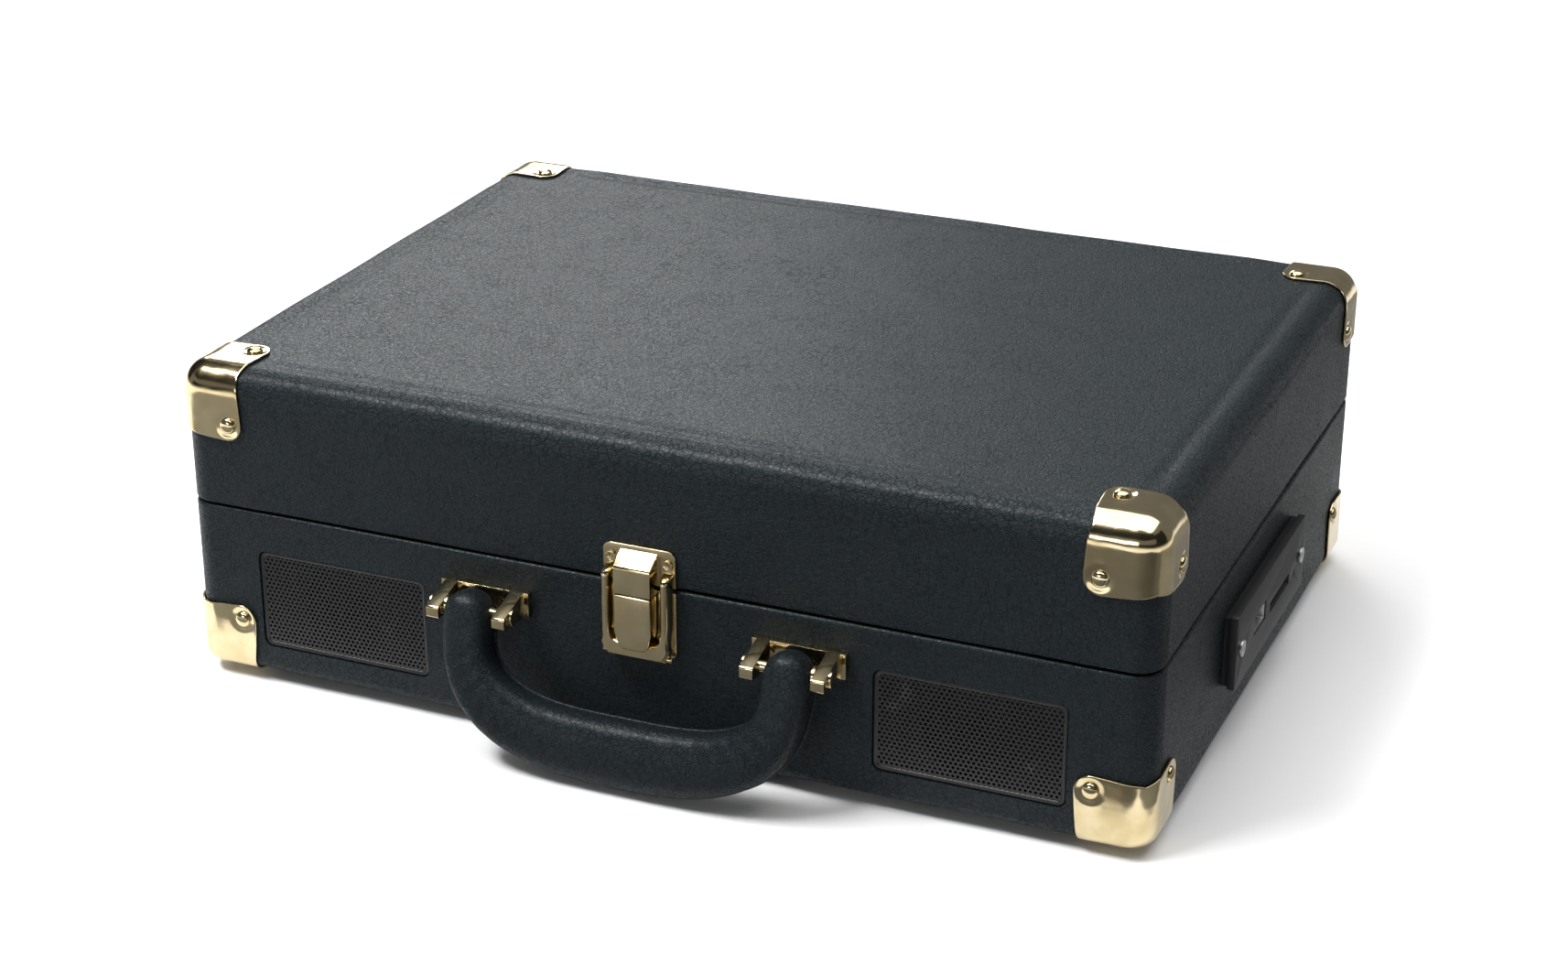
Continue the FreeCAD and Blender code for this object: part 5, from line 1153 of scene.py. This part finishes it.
@dataclass
class Handle:
    """The padded leather handle hanging from its two brackets."""

    tilt: float = math.radians(13)
    leg_inner: float = 50.0 * MM
    leg_outer: float = 65.5 * MM
    end_outer: float = 63.8 * MM
    drop: float = 50.5 * MM
    inner_reach: float = 47.5 * MM
    inner_drop: float = 27.8 * MM
    outer_power: float = 2.7
    inner_power: float = 3.5
    half_thickness: float = 6.9 * MM
    forward: float = 1.6 * MM
    end: float = 8 * MM
    welt: float = 0.85 * MM

    def __post_init__(self) -> None:
        """Reads where the handle hangs from its joint."""
        joint = next(j for j in frame["joints"] if j["name"] == "handle_swing")
        self.pivot = Vector(joint["pos_m"])
        self.down = Vector((0, -math.sin(self.tilt), -math.cos(self.tilt)))
        self.out = Vector((0, -math.cos(self.tilt), math.sin(self.tilt)))

    def place(self, across: float, below: float, proud: float) -> Vector:
        """A place on the handle, from the way across, below its pivot and out of its plane."""
        return self.pivot + Vector((across, 0, 0)) + self.down * below + self.out * proud

    def stations(self) -> list[tuple[float, float, float, float, float]]:
        """Sections of the right half: inner x and drop, outer x and drop, and share of the thickness."""
        made = []
        middle = (self.leg_inner + self.leg_outer) / 2
        wide = (self.leg_outer - self.leg_inner) / 2
        for k in range(9):
            turn = math.pi / 2 * k / 9
            below = MM - self.end * math.cos(turn)
            w = wide * math.sin(turn) ** 0.9
            made.append((middle - w, below, middle + w, below, math.sin(turn) ** 0.55))
        for k in range(61):
            turn = math.pi / 2 * k / 60
            c, s = math.cos(turn), math.sin(turn)
            lean = (self.leg_outer - self.end_outer) * (1 - c)
            made.append((self.curve(c, self.inner_reach, self.leg_inner, self.inner_power),
                         MM + (self.inner_drop - MM) * s ** (2 / self.inner_power),
                         (self.leg_outer - lean) * c ** (2 / self.outer_power) if c > 1e-6 else 0.0,
                         MM + (self.drop - MM) * s ** (2 / self.outer_power), 1.0))
        return made

    def curve(self, c: float, reach: float, start: float, power: float) -> float:
        """How far across the opening's edge is, from its start at the pin to the middle of the grip."""
        share = c ** (2 / power) if c > 1e-6 else 0.0
        return share * (reach + (start - reach) * share ** 4)

    def make(self, wardrobe: Wardrobe) -> None:
        """Builds the padded handle, its welt and its metal parts."""
        half = self.stations()
        whole = [(-a, b, -c, d, e) for a, b, c, d, e in half] + half[-2::-1]
        round_steps = 44
        points = []
        for j, (ix, iz, ox, oz, share) in enumerate(whole):
            leg = min(1.0, abs(ox + ix) / (self.leg_inner + self.leg_outer)) ** 2
            for k in range(round_steps):
                turn = math.tau * k / round_steps
                c, s = math.cos(turn), math.sin(turn)
                power = 2 / ((2.5 if s > 0 else 3.4) + 0.4 * leg)
                side = math.copysign(abs(c) ** power, c)
                thick = math.copysign(abs(s) ** power, s)
                pucker = 1 - 0.018 * math.sin(j * 0.9 + math.sin(turn * 3) * 1.4) * (0.3 + abs(s))
                pad = self.half_thickness * share * thick * pucker + self.forward * leg * share
                x = (ix + ox) / 2 + (ox - ix) / 2 * side
                below = (iz + oz) / 2 + (oz - iz) / 2 * side
                points.append(self.place(x, below, pad))
        faces = grid_faces(len(whole), round_steps, True)
        grip = new_object("padded_handle", points, faces, 180)
        crease = grip.modifiers.new("soft", "SUBSURF")
        crease.levels = crease.render_levels = 1
        settle(grip)
        self.mark_folds(grip)
        smooth(grip.data, 180)
        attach(grip, "handle")
        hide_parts("handle_grip")
        wardrobe.dress(grip, Slot.HANDLE)
        report(grip)
        self.make_welts(whole, wardrobe)
        for node in ("handle_bracket_left", "handle_bracket_right"):
            refined(node, 0.4 * MM, Slot.GOLD, wardrobe)
        refined("handle_pins", 0.25 * MM, Slot.GOLD, wardrobe)

    def mark_folds(self, grip: bpy.types.Object) -> None:
        """Keeps on each point how strongly the leather is creased: most round the edges and at the ends.
        This also sets how much painted crease shade the finish shows.
        """
        values = []
        for vertex in grip.data.vertices:
            place = vertex.co - self.pivot
            edge = 1 - abs(place.dot(self.out)) / self.half_thickness
            values.append(min(1.0, 0.25 + 0.75 * edge))
        fold = grip.data.attributes.new("fold", "FLOAT", "POINT")
        fold.data.foreach_set("value", values)

    def make_welts(self, whole: Sequence[tuple[float, ...]], wardrobe: Wardrobe) -> None:
        """Builds the sewn edges that run round the outside of the handle and round its opening.

        Args:
            whole: The handle's sections from one end to the other.
            wardrobe: The finishes to dress them from.
        """
        for name, outside in (("outer", True), ("inner", False)):
            path = []
            for ix, iz, ox, oz, share in whole:
                if share >= 1.0:
                    away = Vector((ox - ix, oz - iz)).normalized() * (1 if outside else -1)
                    x, below = (ox, oz) if outside else (ix, iz)
                    path.append((x - away.x * 0.3 * MM, below - away.y * 0.3 * MM, away))
            points = []
            for x, below, away in path:
                for k in range(10):
                    turn = math.tau * k / 10
                    reach = self.welt * math.cos(turn)
                    points.append(self.place(x + away.x * reach, below + away.y * reach,
                                             -3.6 * MM + self.welt * 0.8 * math.sin(turn)))
            faces = grid_faces(len(path), 10, True)
            faces += [tuple(range(10)), tuple(range(len(points) - 1, len(points) - 11, -1))]
            welt = new_object(f"handle_sewn_edge_{name}", points, faces, 60)
            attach(welt, "handle")
            wardrobe.dress(welt, Slot.HANDLE)
            report(welt)


# ---------------------------------------------------------------- loudspeakers


@dataclass
class Grille:
    """A punched metal grille in its rim, in front of a loudspeaker."""

    side: str
    pitch: float = 1.75 * MM
    hole: float = 0.54 * MM
    rim: float = 1.7 * MM
    sheet: float = 0.5 * MM
    corner: float = 3 * MM

    def make(self, wardrobe: Wardrobe) -> None:
        """Builds the grille's punched sheet and its rim."""
        low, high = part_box(f"speaker_grille_{self.side}")
        middle = (low + high) / 2
        half_x, half_z = (high.x - low.x) / 2, (high.z - low.z) / 2
        sheet = self.punched(middle, half_x, half_z, low.y + 0.35 * MM)
        thicken(sheet, self.sheet)
        settle(sheet)
        smooth(sheet.data, 40)
        rim = self.rim_frame(middle, half_x, half_z, low.y)
        for piece in (sheet, rim):
            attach(piece, "base")
            wardrobe.dress(piece, Slot.GRILLE)
            report(piece)
        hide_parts(f"speaker_grille_{self.side}")

    def punched(self, middle: Vector, half_x: float, half_z: float, y: float) -> bpy.types.Object:
        """The punched sheet, as cells with a round hole in each.

        Args:
            middle: The grille's middle.
            half_x: Half its width.
            half_z: Half its height.
            y: The sheet's front.

        Returns:
            The sheet.
        """
        rows = int(half_z / (self.pitch * 0.866)) + 1
        columns = int(half_x / self.pitch) + 1
        spot = [math.tau * k / 12 for k in range(12)]
        cell = self.pitch / math.sqrt(3)
        edge = [cell if k % 2 else cell * math.cos(math.pi / 6) for k in range(12)]
        points, faces = [], []
        reach_x, reach_z = half_x - self.rim * 0.45, half_z - self.rim * 0.45
        for r in range(-rows, rows + 1):
            for c in range(-columns, columns + 1):
                x = (c + (0.5 if r % 2 else 0)) * self.pitch
                z = r * self.pitch * 0.866
                past = math.hypot(max(abs(x) - reach_x + self.corner, 0),
                                  max(abs(z) - reach_z + self.corner, 0))
                if past > self.corner or abs(x) > reach_x or abs(z) > reach_z:
                    continue
                first = len(points)
                points += [(middle.x + x + e * math.cos(t), y, middle.z + z + e * math.sin(t))
                           for e, t in zip(edge, spot)]
                points += [(middle.x + x + self.hole * math.cos(t), y + 0.02 * MM, middle.z + z + self.hole *
                            math.sin(t)) for t in spot]
                faces += [(first + k, first + (k + 1) % 12, first + 12 + (k + 1) % 12, first + 12 + k)
                          for k in range(12)]
        return new_object(f"grille_punched_sheet_{self.side}", points, faces, 60)

    def rim_frame(self, middle: Vector, half_x: float, half_z: float, y: float) -> bpy.types.Object:
        """The rolled rim round the punched sheet.

        Args:
            middle: The grille's middle.
            half_x: Half its width.
            half_z: Half its height.
            y: The rim's front.

        Returns:
            The rim.
        """
        section = [(0.0, 2.4), (0.0, 0.5), (0.12, 0.2), (0.35, 0.04), (0.65, 0.0), (1.0, 0.05), (1.3, 0.2),
                   (1.55, 0.42), (1.7, 0.75)]
        points = []
        for inset, depth in section:
            step = inset * MM
            outline = rounded_rectangle(half_x - step, half_z - step, self.corner - step, 10)
            points += [(middle.x + a, y + depth * MM, middle.z + b) for a, b in outline]
        return new_object(f"grille_rim_{self.side}", points, grid_faces(len(section), 44, True), 60)


# ---------------------------------------------------------------- studio


@dataclass
class Studio:
    """Pale floor, soft light and the camera."""

    eye: Point = (0.3874, -0.9110, 0.4873)
    yaw: float = math.radians(23.03)
    pitch: float = math.radians(23.7)
    lens: float = 68.44
    floor_reach: float = 14.0

    def make(self) -> None:
        """Sets the floor, the lights, the world and the camera."""
        self.floor()
        self.lights()
        self.cards()
        self.world()
        self.camera()

    def floor(self) -> None:
        """Lays the floor."""
        steps = np.linspace(-self.floor_reach, self.floor_reach, 9)
        points = [(x, y, -0.0002) for x in steps for y in steps]
        floor = new_object("studio_floor", points, grid_faces(9, 9))
        if floor.data.polygons[0].normal.z < 0:
            floor.data.flip_normals()
        floor.data.materials.append(Paper().make())

    def panel(self, name: str, place: Point, aim: Point, size: tuple[float, float], power: float,
              colour: Point = (1, 1, 1)) -> None:
        """Hangs one soft light.

        Args:
            name: Its name.
            place: Where it hangs.
            aim: Where it points.
            size: Its width and height.
            power: Its power in watts.
            colour: Its colour.
        """
        light = bpy.data.lights.new(name, "AREA")
        light.shape = "RECTANGLE"
        light.size, light.size_y = size
        light.energy = power
        light.color = colour
        holder = bpy.data.objects.new(name, light)
        holder.location = place
        holder.rotation_mode = "QUATERNION"
        holder.rotation_quaternion = (Vector(aim) - Vector(place)).to_track_quat("-Z", "Y")
        bpy.context.scene.collection.objects.link(holder)

    def lights(self) -> None:
        """Hangs the lights."""
        self.panel("ceiling_light", (0.0, 0.4, 3.4), (0.0, 0.4, 0.0), (4.6, 4.6), 178)
        self.panel("key_light", (-0.75, -0.70, 1.7), (0.0, 0.0, 0.05), (0.9, 0.35), 36)
        self.panel("back_light", (-1.5, 2.1, 1.25), (0.0, 0.0, 0.1), (1.3, 0.7), 24)
        self.panel("front_light", (-0.5, -2.4, 0.62), (0.0, 0.0, 0.06), (0.9, 0.3), 6)

    def cards(self) -> None:
        """Stands dark cards round the set, seen only as reflections in the metal."""
        tree = Finish("dark_card")
        card_finish = tree.wear((0.004, 0.0035, 0.003, 1), 0.9 + tree.noise(0.2) * 0.05)
        far = 3.2
        spots = (("card_front_high", -75, 60, 26, 52), ("card_front_low", -60, 85, 3, 13),
                 ("card_right", 60, 105, 2, 40), ("card_left", -125, -80, 4, 60))
        for name, start, stop, low, high in spots:
            rows = []
            for rise in np.radians(np.linspace(low, high, 4)):
                for turn in np.radians(np.linspace(start, stop, 24)):
                    flat = far * math.cos(rise)
                    rows.append((flat * math.sin(turn), -flat * math.cos(turn), far * math.sin(rise)))
            card = new_object(name, rows, grid_faces(4, 24))
            card.data.materials.append(card_finish)
            card.visible_camera = False
            card.visible_shadow = False
            card.visible_diffuse = False
        self.floor_cards()

    def floor_cards(self) -> None:
        """Lays darker cards on the floor in front and at the right, seen only as reflections."""
        low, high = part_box("base_cover")
        spots = (("card_floor_front", (-0.42, low.y - 0.36), (0.50, low.y - 0.035), (0.16, 0.020)),
                 ("card_floor_right", (high.x + 0.03, low.y - 0.10), (high.x + 0.50, high.y + 0.5),
                  (0.14, 0.18)))
        for name, near, far, shades in spots:
            xs = np.linspace(near[0], far[0], 12)
            ys = np.linspace(near[1], far[1], 6)
            card = new_object(name, [(x, y, 0.0) for x in xs for y in ys], grid_faces(12, 6))
            tree = Finish(f"{name}_finish")
            across = tree.axis("X").ramp(near[0], far[0])
            shade = tree.blend(across, (shades[0],) * 3 + (1,), (shades[1],) * 3 + (1,))
            card.data.materials.append(tree.wear(shade, 0.9 + tree.noise(0.2) * 0.05))
            card.visible_camera = False
            card.visible_shadow = False
            card.visible_diffuse = False

    def world(self) -> None:
        """Surrounds the set with plain white light."""
        world = bpy.data.worlds.new("studio_white")
        world.use_nodes = True
        back = world.node_tree.nodes["Background"]
        back.inputs["Color"].default_value = (1, 1, 1, 1)
        back.inputs["Strength"].default_value = 0.2
        bpy.context.scene.world = world
        bpy.context.scene.view_settings.view_transform = "Standard"

    def camera(self) -> None:
        """Stands the camera."""
        lens = bpy.data.cameras.new("camera")
        lens.lens = self.lens
        lens.sensor_width = 36
        lens.clip_start, lens.clip_end = 0.02, 60
        holder = bpy.data.objects.new("camera", lens)
        aim = Vector((-math.sin(self.yaw) * math.cos(self.pitch), math.cos(self.yaw) * math.cos(self.pitch),
                      -math.sin(self.pitch)))
        holder.location = self.eye
        holder.rotation_mode = "QUATERNION"
        holder.rotation_quaternion = aim.to_track_quat("-Z", "Y")
        bpy.context.scene.collection.objects.link(holder)
        bpy.context.scene.camera = holder


# ---------------------------------------------------------------- the rest of the player


@dataclass
class Fittings:
    """Every other piece: its own shape with broken edges and its finish."""

    edge: float = 0.25 * MM
    # The width of the broken edges in millimetres, and the pieces that have it.
    widths: tuple[tuple[float, str], ...] = (
        (0.8, "rubber_feet"),
        (0.6, "deck_plate"),
        (0.5, "platter"),
        (0.45, "side_panel"),
        (0.4, "record_adapter slip_mat"),
        (0.3, "volume_knob source_knob tonearm tonearm_base cue_lever speed_lever auto_stop_switch "
              "arm_rest"),
        (0.25, "rear_sockets hinge_base_leaves hinge_lid_leaves tonearm_yoke"),
        (0.2, "hinge_pins cartridge"),
        (0.15, "spindle"),
        (0.1, "card_reader base_screws dark_screws"),
        (0.08, "usb_socket"))

    def make(self, wardrobe: Wardrobe) -> None:
        """Finishes the nodes that nothing else stands for."""
        slots = {part["node"]: Slot(part["material_slot"]) for part in frame["record"]["subparts"]}
        widths = {node: width * MM for width, nodes in self.widths for node in nodes.split()}
        for node, piece in sorted(frame["nodes"].items()):
            if piece.hide_render:
                continue
            if node in widths:
                refined(node, widths[node], slots[node], wardrobe)
            else:
                wardrobe.dress(piece, slots[node])
                report(piece)


def main() -> None:
    """Builds the player's looks, one sub-assembly after another."""
    logging.basicConfig(level=logging.INFO, format="%(name)s %(message)s")
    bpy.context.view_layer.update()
    wardrobe = Wardrobe()
    CaseCover(Half.LID).make(wardrobe)
    CaseCover(Half.BASE, end_radius=5 * MM).make(wardrobe)
    Corners(Half.LID).make(wardrobe)
    Corners(Half.BASE, end_radius=5 * MM).make(wardrobe)
    Latch().make(wardrobe)
    Handle().make(wardrobe)
    for side in ("left", "right"):
        Grille(side).make(wardrobe)
    Fittings().make(wardrobe)
    Studio().make()


if __name__ == "__main__":
    main()
